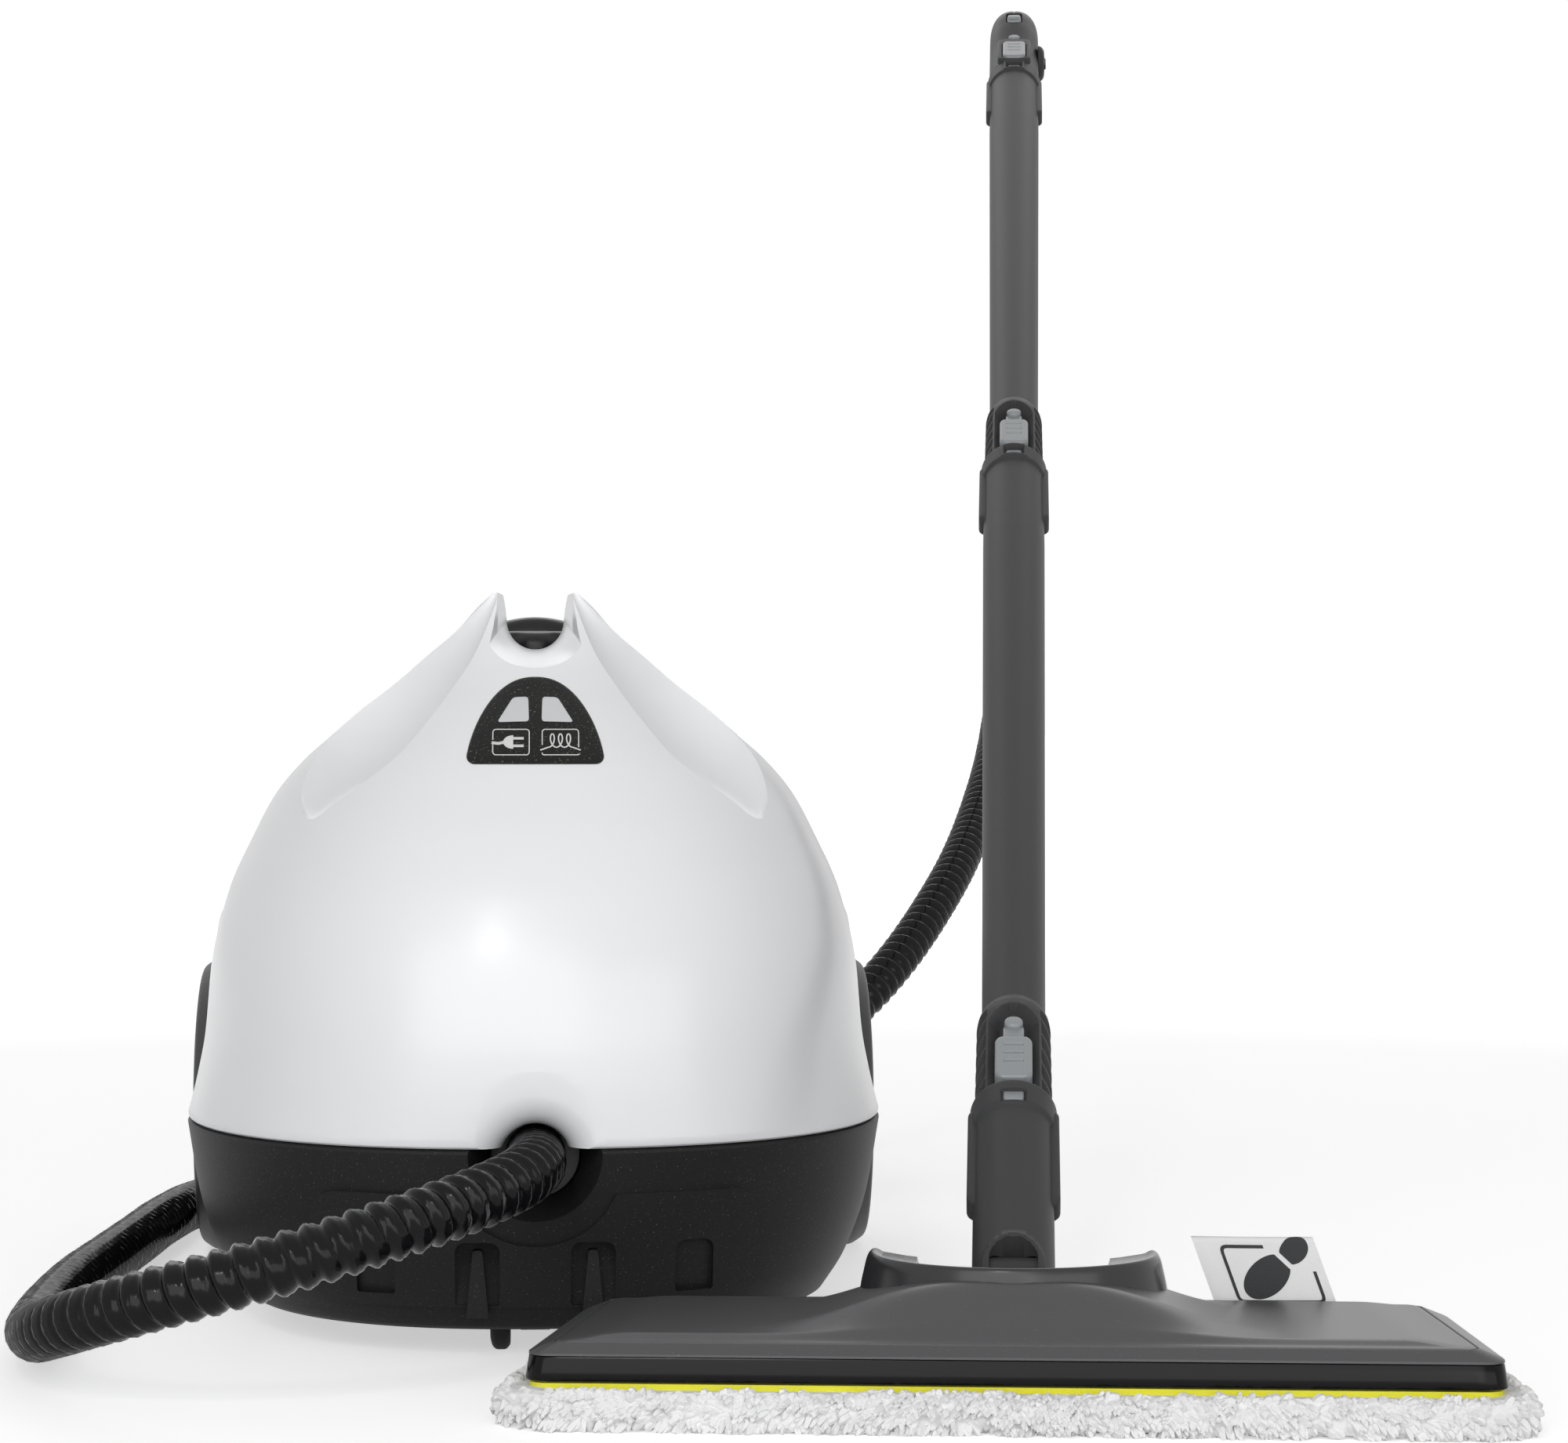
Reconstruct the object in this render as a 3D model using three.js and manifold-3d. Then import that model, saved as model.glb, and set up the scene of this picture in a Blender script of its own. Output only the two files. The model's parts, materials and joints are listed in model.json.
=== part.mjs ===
// Canister steam cleaner with a steam mop: wheeled boiler unit, steam hose, gun, two tubes and a floor head.
// Millimetres, +Z up. The unit faces -Y and the mop leans away from it along +Y.
import * as THREE from 'three';
import { mergeVertices } from 'three/addons/utils/BufferGeometryUtils.js';
import Module from 'manifold-3d';

const wasm = await Module();
wasm.setup();

// ---------- driving dimensions ----------
const gap = 0.3; // air left between pieces that touch
const wall = 3; // moulded wall of the unit

const bodyLength = 380;
const bodyWidth = 254;
const bodyWidestY = bodyLength * -0.116; // the plan is widest ahead of its middle
const seamHeight = 74; // where the bonnet sits on the base
const bodyHeight = 263; // tips of the two crests
const lipHeight = 10; // lower edge of the base
const unitSetBack = 6; // how far the unit stands behind the frame's start

const wheelRadius = 60;
const wheelWidth = 26;
const wheelY = bodyLength / 2 - 65;
const wheelInnerX = bodyWidth / 2 - 17;
const axleRadius = 4;
const archClearance = 4;
const hubCapRadius = 24;
const fenderRadius = 85;
const fenderReach = 1; // how far the fenders stand outside the body's half width

const castorY = -bodyLength / 2 + 59;
const castorWheelRadius = 12.5;
const castorTrail = 11;
const castorTrack = 12; // from the middle to each of the two rims
const castorRimWidth = 7;
const castorStemRadius = 4.6;
const castorAxleRadius = 2.2;
const castorPocketRadius = 29.5;
const castorPocketTop = 36;

const boilerY = bodyLength * -0.0658;
const boilerRadius = 60;
const boilerWall = 2;
const boilerBottom = 44;
const boilerSeam = 106;
const boilerTop = bodyHeight - 85;
const neckBore = 16;
const neckWall = 4;
const neckTop = boilerTop + 42;

const capRadius = 33;
const capTop = bodyHeight - 8;
const capBottom = capTop - 38;
const wellRadius = 37;
const wellFloor = capBottom - 5;

const panelWidth = 48;
const panelBottom = bodyHeight - 61;
const panelTop = panelBottom + 31;
const lampHeight = panelBottom + 19.2;
const boardDepth = 10;
const outletHeight = 70;
const outletRadius = 15.5;
const outletMouth = 27; // radius of the hood round the hose
const outletDepth = 19; // from the body's front to the hose's bush
const bushLength = 26;
const hoseGrip = 22; // length of hose held in its bush

const glandHeight = 48;
const screwX = bodyWidth * 0.24;
const screwPlaces = [-bodyLength * 0.237, bodyLength * 0.316].flatMap((y) => [[screwX, y], [-screwX, y]]);

const hoseRadius = 10.5;
const hoseSides = 8;
const hoseSteps = 72;

const mopHeading = 7; // degrees, turned from +Y towards +X
const tubeRise = 29.33; // degrees above the floor
const pivot = [153.8, -238.8, 34.6]; // crossing of the head's two hinge axes
const neckLength = 96.6;
const tubePitch = 508;
const tubeSmallRadius = 11.3;
const collarRadius = 13.5;
const rimRadius = 15;
const rimLength = 12;
const sleeveRadius = 13.4;
const sleeveLength = 52;
const plugRadius = 10.6;
const plugLength = 32;
const wingReach = 15.9;
const wingLength = 55;
const wingThickness = 9;
const innerPipeRadius = 4;
const latchWidth = 13;
const latchTravel = 2.5;
const tongueWidth = 7.3;
const tubeBore = 9;

const gunWidth = 28;
const gunBarrel = 85; // from the joint to the grip's middle line
const gripTurn = 74.33; // degrees from the barrel to the grip
const gripLength = 130;
const gripWidth = 28;
const steamPipeRadius = 3;
const steamPipeDrop = -2.4; // the gun's pipe lies between its latch and its trigger

const headWidth = 300;
const headBackWidth = 284;
const headFront = 66.5; // from the pivot forwards
const headBack = 31;
const clothOverhang = 13;
const clothBackOverhang = 7;
const clothThickness = 10.2;
const backingTop = 11.9;
const bandTop = 22;
const headCrease = 26;
const headCrown = 38;
const headWall = 3;
const headCorner = 7;
const coverTaper = 7; // how much narrower the cover's back is above its bevel
const jointPocket = 24; // half width of the pocket that the neck moves in
const pocketFloor = 16.5;
const crossRadius = 9.5;
const cheekInner = 9.5;
const cheekRadius = 10;
const tiltPinRadius = 2.6;
const stubRadius = 5;
const pocketFront = 16;
const bearingLength = 17;
const bearingHalf = 9.5;
const collarReach = 46.5;
const collarFront = 40;
const collarTop = 46;
const tagWidth = 45;
const tagTop = 45;
const tagX = 82;

// ---------- closed shapes ----------
const rad = THREE.MathUtils.degToRad;
const v3 = (x, y, z) => new THREE.Vector3(x, y, z);

// A closed geometry as a solid that can be joined and cut.
function solid(geometry) {
  const bare = geometry.clone();
  bare.deleteAttribute('normal');
  bare.deleteAttribute('uv');
  const merged = mergeVertices(bare, 1e-4);
  const index = merged.index.array;
  const faces = [];
  for (let i = 0; i < index.length; i += 3) {
    const [a, b, c] = [index[i], index[i + 1], index[i + 2]];
    if (a !== b && b !== c && a !== c) faces.push(a, b, c);
  }
  const vertProperties = new Float32Array(merged.attributes.position.array);
  return new wasm.Manifold(new wasm.Mesh({ numProp: 3, vertProperties, triVerts: new Uint32Array(faces) }));
}

function join(...bodies) {
  return bodies.reduce((whole, body) => whole.add(body));
}

function cut(body, ...tools) {
  return tools.reduce((rest, tool) => rest.subtract(tool), body);
}

function block(size, centre) {
  const geometry = new THREE.BoxGeometry(...size);
  geometry.translate(...centre);
  return solid(geometry);
}

// A round bar, straight or tapered, between two points.
function rod(from, to, radius, endRadius = radius, sides = 16) {
  const start = v3(...from);
  const end = v3(...to);
  const along = end.clone().sub(start);
  const geometry = new THREE.CylinderGeometry(endRadius, radius, along.length(), sides);
  geometry.applyQuaternion(new THREE.Quaternion().setFromUnitVectors(v3(0, 1, 0), along.clone().normalize()));
  geometry.translate(...start.add(end).multiplyScalar(0.5).toArray());
  return solid(geometry);
}

// A turned shape: [radius, height] pairs round an upright axis, then moved to a point or by a matrix.
function turned(profile, place = [0, 0, 0], sides = 16) {
  const points = profile.map(([radius, height]) => new THREE.Vector2(radius, height));
  points.push(points[0].clone());
  const geometry = new THREE.LatheGeometry(points, sides);
  geometry.rotateX(Math.PI / 2);
  geometry.applyMatrix4(Array.isArray(place) ? new THREE.Matrix4().makeTranslation(...place) : place);
  const body = solid(geometry);
  return body.volume() > 0 ? body : solid(flipped(geometry));
}

function flipped(geometry) {
  const turnedOut = geometry.clone();
  const index = turnedOut.index.array;
  for (let i = 0; i < index.length; i += 3) [index[i], index[i + 1]] = [index[i + 1], index[i]];
  return turnedOut;
}

// A flat outline with rounded edges, pushed along +Z from z = 0, then placed by a matrix.
function slab(outline, thickness, bevel, matrix = new THREE.Matrix4()) {
  const shape = new THREE.Shape(outline.map(([x, y]) => new THREE.Vector2(x, y)));
  const geometry = new THREE.ExtrudeGeometry(shape, {
    depth: thickness - 2 * bevel,
    bevelEnabled: bevel > 0,
    bevelThickness: bevel,
    bevelSize: bevel,
    bevelOffset: -bevel,
    bevelSegments: 1,
    curveSegments: 6,
  });
  geometry.translate(0, 0, bevel);
  geometry.applyMatrix4(matrix);
  return solid(geometry);
}

// Rings of equal count joined in order, closed by a fan at each end.
function loft(rings) {
  const count = rings[0].length;
  const points = rings.flat();
  const faces = [];
  for (let k = 0; k + 1 < rings.length; k += 1) {
    for (let i = 0; i < count; i += 1) {
      const j = (i + 1) % count;
      const [a, b, c, d] = [k * count + i, k * count + j, (k + 1) * count + j, (k + 1) * count + i];
      faces.push(a, b, c, a, c, d);
    }
  }
  const middle = (ring) => ring.reduce((sum, p) => sum.add(p), v3(0, 0, 0)).divideScalar(count);
  const last = (rings.length - 1) * count;
  points.push(middle(rings[0]), middle(rings[rings.length - 1]));
  for (let i = 0; i < count; i += 1) {
    const j = (i + 1) % count;
    faces.push(points.length - 2, j, i, points.length - 1, last + i, last + j);
  }
  const geometry = new THREE.BufferGeometry();
  const numbers = points.flatMap((p) => p.toArray());
  geometry.setAttribute('position', new THREE.Float32BufferAttribute(numbers, 3));
  geometry.setIndex(faces);
  const body = solid(geometry);
  return body.volume() > 0 ? body : solid(flipped(geometry));
}

// A round tube along a smooth curve through points.
function tubeAlong(points, radius, sides, steps) {
  const path = new THREE.CatmullRomCurve3(points.map((p) => v3(...p)), false, 'centripetal');
  const section = [];
  for (let i = 0; i < sides; i += 1) {
    const turn = (2 * Math.PI * i) / sides;
    section.push(new THREE.Vector2(radius * Math.cos(turn), radius * Math.sin(turn)));
  }
  const geometry = new THREE.ExtrudeGeometry(new THREE.Shape(section), { steps, extrudePath: path });
  return solid(geometry);
}

function roundedOutline(width, height, radius, centre = [0, 0], steps = 3) {
  const points = [];
  const corners = [[1, -1, -90], [1, 1, 0], [-1, 1, 90], [-1, -1, 180]];
  for (const [sx, sy, start] of corners) {
    for (let i = 0; i <= steps; i += 1) {
      const turn = rad(start + (90 * i) / steps);
      const x = centre[0] + sx * (width / 2 - radius) + radius * Math.cos(turn);
      points.push([x, centre[1] + sy * (height / 2 - radius) + radius * Math.sin(turn)]);
    }
  }
  return points;
}

// ---------- scene graph ----------
const machine = new THREE.Group();
const unit = new THREE.Group();
unit.position.set(0, unitSetBack, 0);
const mop = new THREE.Group();
mop.position.set(...pivot);
mop.rotation.z = -rad(mopHeading);
const stick = new THREE.Group(); // +Z runs up the tubes, -Y faces up
stick.rotation.x = rad(tubeRise - 90);
mop.add(stick);
const lowerTube = new THREE.Group();
lowerTube.position.z = neckLength;
const upperTube = new THREE.Group();
upperTube.position.z = neckLength + tubePitch;
const gun = new THREE.Group();
gun.position.z = neckLength + 2 * tubePitch;
stick.add(lowerTube, upperTube, gun);
machine.add(unit, mop);

const finishes = {
  white: [0xf1f2f4, 0.22, 0],
  black: [0x17181a, 0.55, 0],
  gloss: [0x0d0d0f, 0.18, 0],
  charcoal: [0x37383b, 0.45, 0],
  grey: [0x979ba0, 0.4, 0],
  lamp: [0xd9dcdf, 0.3, 0],
  steel: [0xb4b6ba, 0.3, 1],
  brass: [0xb99a55, 0.35, 1],
  rubber: [0x1c1c1e, 0.85, 0],
  board: [0x2f6b3c, 0.6, 0],
  yellow: [0xf2e51c, 0.6, 0],
  cloth: [0xf4f4f2, 0.95, 0],
};

function addPart(group, name, body, finish) {
  const [color, roughness, metalness] = finishes[finish];
  const mesh = body.getMesh();
  const geometry = new THREE.BufferGeometry();
  geometry.setAttribute('position', new THREE.BufferAttribute(new Float32Array(mesh.vertProperties), 3));
  geometry.setIndex(new THREE.BufferAttribute(new Uint32Array(mesh.triVerts), 1));
  geometry.computeVertexNormals();
  const part = new THREE.Mesh(geometry, new THREE.MeshStandardMaterial({ color, roughness, metalness }));
  part.name = name;
  group.add(part);
}

// ---------- unit housing ----------
// Each row: height as a share from seam to crest tips, half width, front reach and rear reach as shares of
// half the body, and how far the widest point has moved towards the crests.
const bonnetRows = [
  [0, 1, 1, 1, 0],
  [0.03, 0.988, 1, 0.998, 0],
  [0.08, 0.97, 1, 0.994, 0],
  [0.16, 0.948, 0.998, 0.986, 0],
  [0.296, 0.93, 0.976, 0.947, 0],
  [0.429, 0.884, 0.932, 0.868, 0],
  [0.54, 0.811, 0.874, 0.768, 0],
  [0.619, 0.748, 0.818, 0.684, 0],
  [0.683, 0.667, 0.768, 0.589, 0.1],
  [0.741, 0.567, 0.716, 0.484, 0.22],
  [0.783, 0.492, 0.674, 0.379, 0.36],
  [0.825, 0.409, 0.629, 0.237, 0.5],
  [0.878, 0.315, 0.579, -0.237, 0.66],
  [0.931, 0.22, 0.542, -0.3, 0.8],
  [0.974, 0.162, 0.521, -0.33, 0.92],
  [1, 0.118, 0.511, -0.35, 1],
];
const baseRows = [
  [lipHeight, 0.83, 0.868, 0.93],
  [24, 0.9, 0.915, 0.955],
  [46, 0.962, 0.962, 0.98],
  [seamHeight - gap, 1, 1, 1],
];
const trayFloor = lipHeight + 7;
const crestY = -bodyLength / 4;
const outlineCount = 24;

function planRing(halfWidth, front, rear, widestY, height) {
  const ring = [];
  for (let i = 0; i < outlineCount; i += 1) {
    const turn = (2 * Math.PI * i) / outlineCount;
    const ahead = Math.sin(turn) < 0;
    const squareness = ahead ? 2.25 : 2.6;
    const across = Math.sign(Math.cos(turn)) * Math.abs(Math.cos(turn)) ** (2 / squareness);
    const along = Math.sign(Math.sin(turn)) * Math.abs(Math.sin(turn)) ** (2 / squareness);
    const reach = ahead ? widestY - front : rear - widestY;
    ring.push(v3(halfWidth * across, widestY + reach * along, height));
  }
  return ring;
}

// Outline of the bonnet at a row, grown by an offset.
function bonnetRow(row, offset) {
  const [rise, widthShare, frontShare, rearShare, shift] = row;
  return {
    height: seamHeight + rise * (bodyHeight - seamHeight) + offset * rise,
    halfWidth: (widthShare * bodyWidth) / 2 + offset,
    front: (-frontShare * bodyLength) / 2 - offset,
    rear: (rearShare * bodyLength) / 2 + offset,
    widestY: bodyWidestY + shift * (crestY - bodyWidestY),
  };
}

function bonnetSolid(offset, lower, rows = bonnetRows) {
  const rings = rows.map((row, i) => {
    const { height, halfWidth, front, rear, widestY } = bonnetRow(row, offset);
    return planRing(halfWidth, front, rear, widestY, i === 0 ? lower : height);
  });
  return loft(rings);
}

// The bonnet's outline at any height, between its rows.
function bonnetAt(height) {
  const rise = (height - seamHeight) / (bodyHeight - seamHeight);
  const next = Math.max(1, bonnetRows.findIndex((row) => row[0] >= Math.min(rise, 1)));
  const [low, high] = [bonnetRows[next - 1], bonnetRows[next]];
  const mix = Math.min(1, (rise - low[0]) / (high[0] - low[0]));
  return bonnetRow(low.map((value, i) => value + mix * (high[i] - value)), 0);
}

function frontPoint(x, height) {
  const { halfWidth, front, widestY } = bonnetAt(height);
  const share = Math.min(1, Math.abs(x) / halfWidth);
  return v3(x, widestY - (widestY - front) * (1 - share ** 2.25) ** (1 / 2.25), height);
}

const bodyShare = (across, rise) => [(across * bodyWidth) / 2, seamHeight + rise * (bodyHeight - seamHeight)];

// Scoop beside each crest, down the flank: crease x and height, then ridge x and height, as shares of the
// body's half width and of the rise from seam to crest tips.
const scoopRows = [
  [0.102, 0.999, 0.112, 1.001],
  [0.135, 0.936, 0.173, 0.96],
  [0.173, 0.878, 0.24, 0.922],
  [0.228, 0.82, 0.315, 0.878],
  [0.291, 0.762, 0.398, 0.831],
  [0.37, 0.698, 0.492, 0.783],
  [0.441, 0.659, 0.567, 0.735],
  [0.512, 0.624, 0.614, 0.693],
  [0.575, 0.6, 0.642, 0.653],
  [0.622, 0.587, 0.65, 0.614],
];

const scoopArc = 110; // degrees of the round cutter that bite into the flank
const scoopSteps = 5;

function scoop(side, extra) {
  const middles = [];
  const spans = scoopRows.map(([creaseX, creaseZ, ridgeX, ridgeZ]) => {
    const crease = frontPoint(...bodyShare(creaseX, creaseZ));
    const ridge = frontPoint(...bodyShare(ridgeX, ridgeZ));
    middles.push(crease.clone().add(ridge).multiplyScalar(0.5));
    return [crease, ridge];
  });
  const rings = spans.map(([crease, ridge], i) => {
    const along = middles[Math.min(i + 1, spans.length - 1)].clone().sub(middles[Math.max(i - 1, 0)]);
    const chord = ridge.clone().sub(crease);
    const half = chord.length() / 2;
    const u = chord.clone().normalize();
    const out = along.clone().cross(chord).normalize();
    if (out.y > 0) out.negate();
    const centre = middles[i].clone().addScaledVector(out, half);
    const radius = half * Math.SQRT2 + extra;
    const ring = [];
    for (let k = 0; k <= scoopSteps; k += 1) {
      const turn = rad(-90 - scoopArc / 2 + (scoopArc * k) / scoopSteps);
      const p = centre.clone().addScaledVector(u, radius * Math.cos(turn));
      ring.push(p.addScaledVector(out, radius * Math.sin(turn)));
    }
    const rim = centre.clone().addScaledVector(out, radius);
    ring.push(rim.clone().addScaledVector(u, radius), rim.clone().addScaledVector(u, -radius));
    for (const p of ring) p.x *= side;
    return ring;
  });
  return loft(rings);
}

// Wheel arch beside the body, and the same shape grown into a liner.
function arch(side, extra) {
  const inner = side * (wheelInnerX - archClearance - extra);
  const radius = wheelRadius + archClearance + extra;
  return rod([inner, wheelY, wheelRadius], [side * bodyWidth, wheelY, wheelRadius], radius, radius, 24);
}

// Bulge of the bonnet over a wheel, drawn in towards its rim.
function fender(side) {
  const face = side * (bodyWidth / 2 + fenderReach);
  const shoulder = face - side * 6;
  const root = side * (wheelInnerX - 14);
  const bulge = join(
    rod([root, wheelY, wheelRadius], [shoulder, wheelY, wheelRadius], fenderRadius - 7, fenderRadius, 24),
    rod([shoulder, wheelY, wheelRadius], [face, wheelY, wheelRadius], fenderRadius, fenderRadius - 6, 24),
  );
  const aboveSeam = block([4 * bodyWidth, 2 * bodyLength, bodyHeight], [0, 0, seamHeight + bodyHeight / 2]);
  return bulge.intersect(aboveSeam);
}

// A round space along the hose's way into the unit, from ahead of the body to a depth behind its front.
function outletBore(radius, depth) {
  const front = -bodyLength / 2;
  return rod([0, front - 10, outletHeight], [0, front + depth, outletHeight], radius);
}

function outletCone(extra) {
  const front = -bodyLength / 2 - 4;
  return rod([0, front, outletHeight], [0, front + outletDepth + 3, outletHeight], outletMouth + extra,
    outletRadius + extra, 20);
}

// Throat between the crests, ahead of the cap's well.
function throat(extra) {
  const [front, back] = [crestY - 21, boilerY - wellRadius + 4];
  const [mouth, spout] = [20 + extra, 13 + extra];
  const height = bodyHeight - 7;
  const slope = rod([0, front, height], [0, back, height], mouth, spout);
  return join(slope, block([2 * spout, back - front, 40], [0, (front + back) / 2, height + 20]));
}

const prismDepth = bodyLength * 0.3; // how far the panel's and lamps' outlines reach behind the body's front

function panelPrism(growth) {
  const half = panelWidth / 2 + growth;
  const rise = panelTop - panelBottom + 2 * growth;
  const corner = 3;
  const points = [[-half + corner, 0], [half - corner, 0], [half, corner]];
  for (let i = 1; i < 8; i += 1) {
    const turn = (Math.PI * i) / 8;
    points.push([half * Math.cos(turn) * 0.93, corner + (rise - corner) * Math.sin(turn) ** 0.8]);
  }
  points.push([-half, corner]);
  return slab(points, prismDepth, 0, uprightAt(panelBottom - growth));
}

// Turns a slab's outline plane to face -Y at the body's front: x stays, y becomes height.
function uprightAt(height) {
  const turn = new THREE.Matrix4().makeRotationX(Math.PI / 2);
  return turn.setPosition(0, prismDepth - bodyLength / 2, height);
}

function lampPrism(side, growth) {
  const outline = roundedOutline(9.6 + 2 * growth, 9 + 2 * growth, 2 + growth, [side * 7.6, 0]);
  return slab(outline, prismDepth, 0, uprightAt(lampHeight));
}

const cavityRows = [0, 2, 5, 7, 9, 11].map((i) => bonnetRows[i]);

function buildHousing() {
  const outlet = outletCone(0);
  const hoseBore = outletBore(outletRadius + gap, 60);
  const hoseLiner = outletBore(outletRadius + gap + wall, 40);
  const arches = [arch(1, 0), arch(-1, 0)];
  const liners = [arch(1, wall), arch(-1, wall), outletCone(wall), hoseLiner];
  const neckHole = rod([0, boilerY, wellFloor - 20], [0, boilerY, wellFloor + 20], neckBore + neckWall + 1);
  const well = rod([0, boilerY, wellFloor], [0, boilerY, bodyHeight + 20], wellRadius, wellRadius, 24);
  const wellLiner = rod([0, boilerY, wellFloor - wall], [0, boilerY, bodyHeight + 20], wellRadius + wall);

  const hollow = cut(bonnetSolid(-wall, seamHeight - 1, cavityRows), wellLiner, throat(wall), scoop(1, wall),
    scoop(-1, wall), ...liners);
  const pocket = panelPrism(gap).subtract(bonnetSolid(-2.1, seamHeight));
  const outside = join(bonnetSolid(0, seamHeight), fender(1), fender(-1));
  const bonnet = cut(outside, hollow, scoop(1, 0), scoop(-1, 0), well, neckHole, throat(0), ...arches, outlet,
    hoseBore, pocket, lampPrism(1, gap), lampPrism(-1, gap));
  addPart(unit, 'bonnet', bonnet, 'white');

  const panel = cut(panelPrism(0).intersect(bonnetSolid(0.7, seamHeight)), bonnetSolid(-1.8, seamHeight),
    lampPrism(1, gap), lampPrism(-1, gap));
  addPart(unit, 'indicator_panel', panel, 'black');
  for (const [name, side] of [['left', -1], ['right', 1]]) {
    const lamp = lampPrism(side, 0).intersect(bonnetSolid(1, seamHeight));
    addPart(unit, `lamp_window_${name}`, lamp.subtract(bonnetSolid(-6, seamHeight)), 'lamp');
  }
  addPart(unit, 'base_shell', buildBase([...arches, outlet, hoseBore], liners), 'black');
}

function baseRing([height, widthShare, frontShare, rearShare], offset, at = height) {
  const front = (-frontShare * bodyLength) / 2 - offset;
  const rear = (rearShare * bodyLength) / 2 + offset;
  return planRing((widthShare * bodyWidth) / 2 + offset, front, rear, bodyWidestY, at);
}

// The base is a tray open to the top, with a recessed underside that the screws come up through.
function buildBase(openings, liners) {
  const recess = lipHeight + 4;
  const outer = loft(baseRows.map((row) => baseRing(row, 0)));
  const castorRod = (from, to, radius) => rod([0, castorY, from], [0, castorY, to], radius);
  const castorHousing = castorRod(lipHeight, castorPocketTop + wall, castorPocketRadius + wall);
  const inside = cut(
    loft([baseRing(baseRows[0], -wall, trayFloor), ...baseRows.slice(1, 3).map((row) => baseRing(row, -wall)),
      baseRing(baseRows[3], -wall, seamHeight + 1)]),
    castorHousing, ...liners,
  );
  const bosses = screwPlaces.map(([x, y]) => rod([x, y, lipHeight], [x, y, trayFloor + 3], 5));
  const underside = loft([baseRing(baseRows[0], -wall, lipHeight - 1), baseRing(baseRows[0], -wall, recess)]);
  const beneath = cut(underside, castorHousing, ...bosses);
  const screwHoles = screwPlaces.map(([x, y]) => rod([x, y, 0], [x, y, 60], 2 + gap, 2 + gap, 12));
  const headHoles = screwPlaces.map(([x, y]) => rod([x, y, 0], [x, y, recess - 0.5], 4));
  const axleBore = rod([-bodyWidth, wheelY, wheelRadius], [bodyWidth, wheelY, wheelRadius], axleRadius + gap);
  const rear = bodyLength / 2;
  const glandHole = rod([0, rear - 40, glandHeight], [0, rear + 10, glandHeight], 6 + gap);
  const castorSpace = [castorRod(0, castorPocketTop, castorPocketRadius),
    castorRod(castorPocketTop - 6, castorPocketTop + 24, castorStemRadius + gap)];
  return cut(outer, inside, beneath, axleBore, glandHole, ...castorSpace, ...openings, ...screwHoles,
    ...headHoles);
}

function buildFittings() {
  screwPlaces.forEach(([x, y], i) => {
    const screw = join(rod([x, y, 11.3], [x, y, 13.2], 3.6, 3.6, 12), rod([x, y, 13], [x, y, 30], 2, 2, 10));
    addPart(unit, `base_screw_${i + 1}`, screw, 'steel');
  });
  const rear = bodyLength / 2;
  const gland = cut(join(
    rod([0, rear - 20, glandHeight], [0, rear + 2, glandHeight], 6),
    rod([0, rear - 18, glandHeight], [0, rear - 9.5, glandHeight], 8.5),
    rod([0, rear - 1.8, glandHeight], [0, rear + 12, glandHeight], 8, 5),
  ), rod([0, rear - 30, glandHeight], [0, rear + 20, glandHeight], 3.2));
  addPart(unit, 'mains_inlet_gland', gland, 'rubber');

  const bushFront = -bodyLength / 2 + outletDepth;
  const bushRod = (from, to, radius) =>
    rod([0, bushFront + from, outletHeight], [0, bushFront + to, outletHeight], radius);
  const bush = cut(bushRod(0, bushLength, outletRadius), bushRod(-1, hoseGrip, hoseRadius + gap),
    bushRod(0, bushLength + 9, steamPipeRadius + gap));
  addPart(unit, 'hose_outlet', bush, 'black');
}

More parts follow.
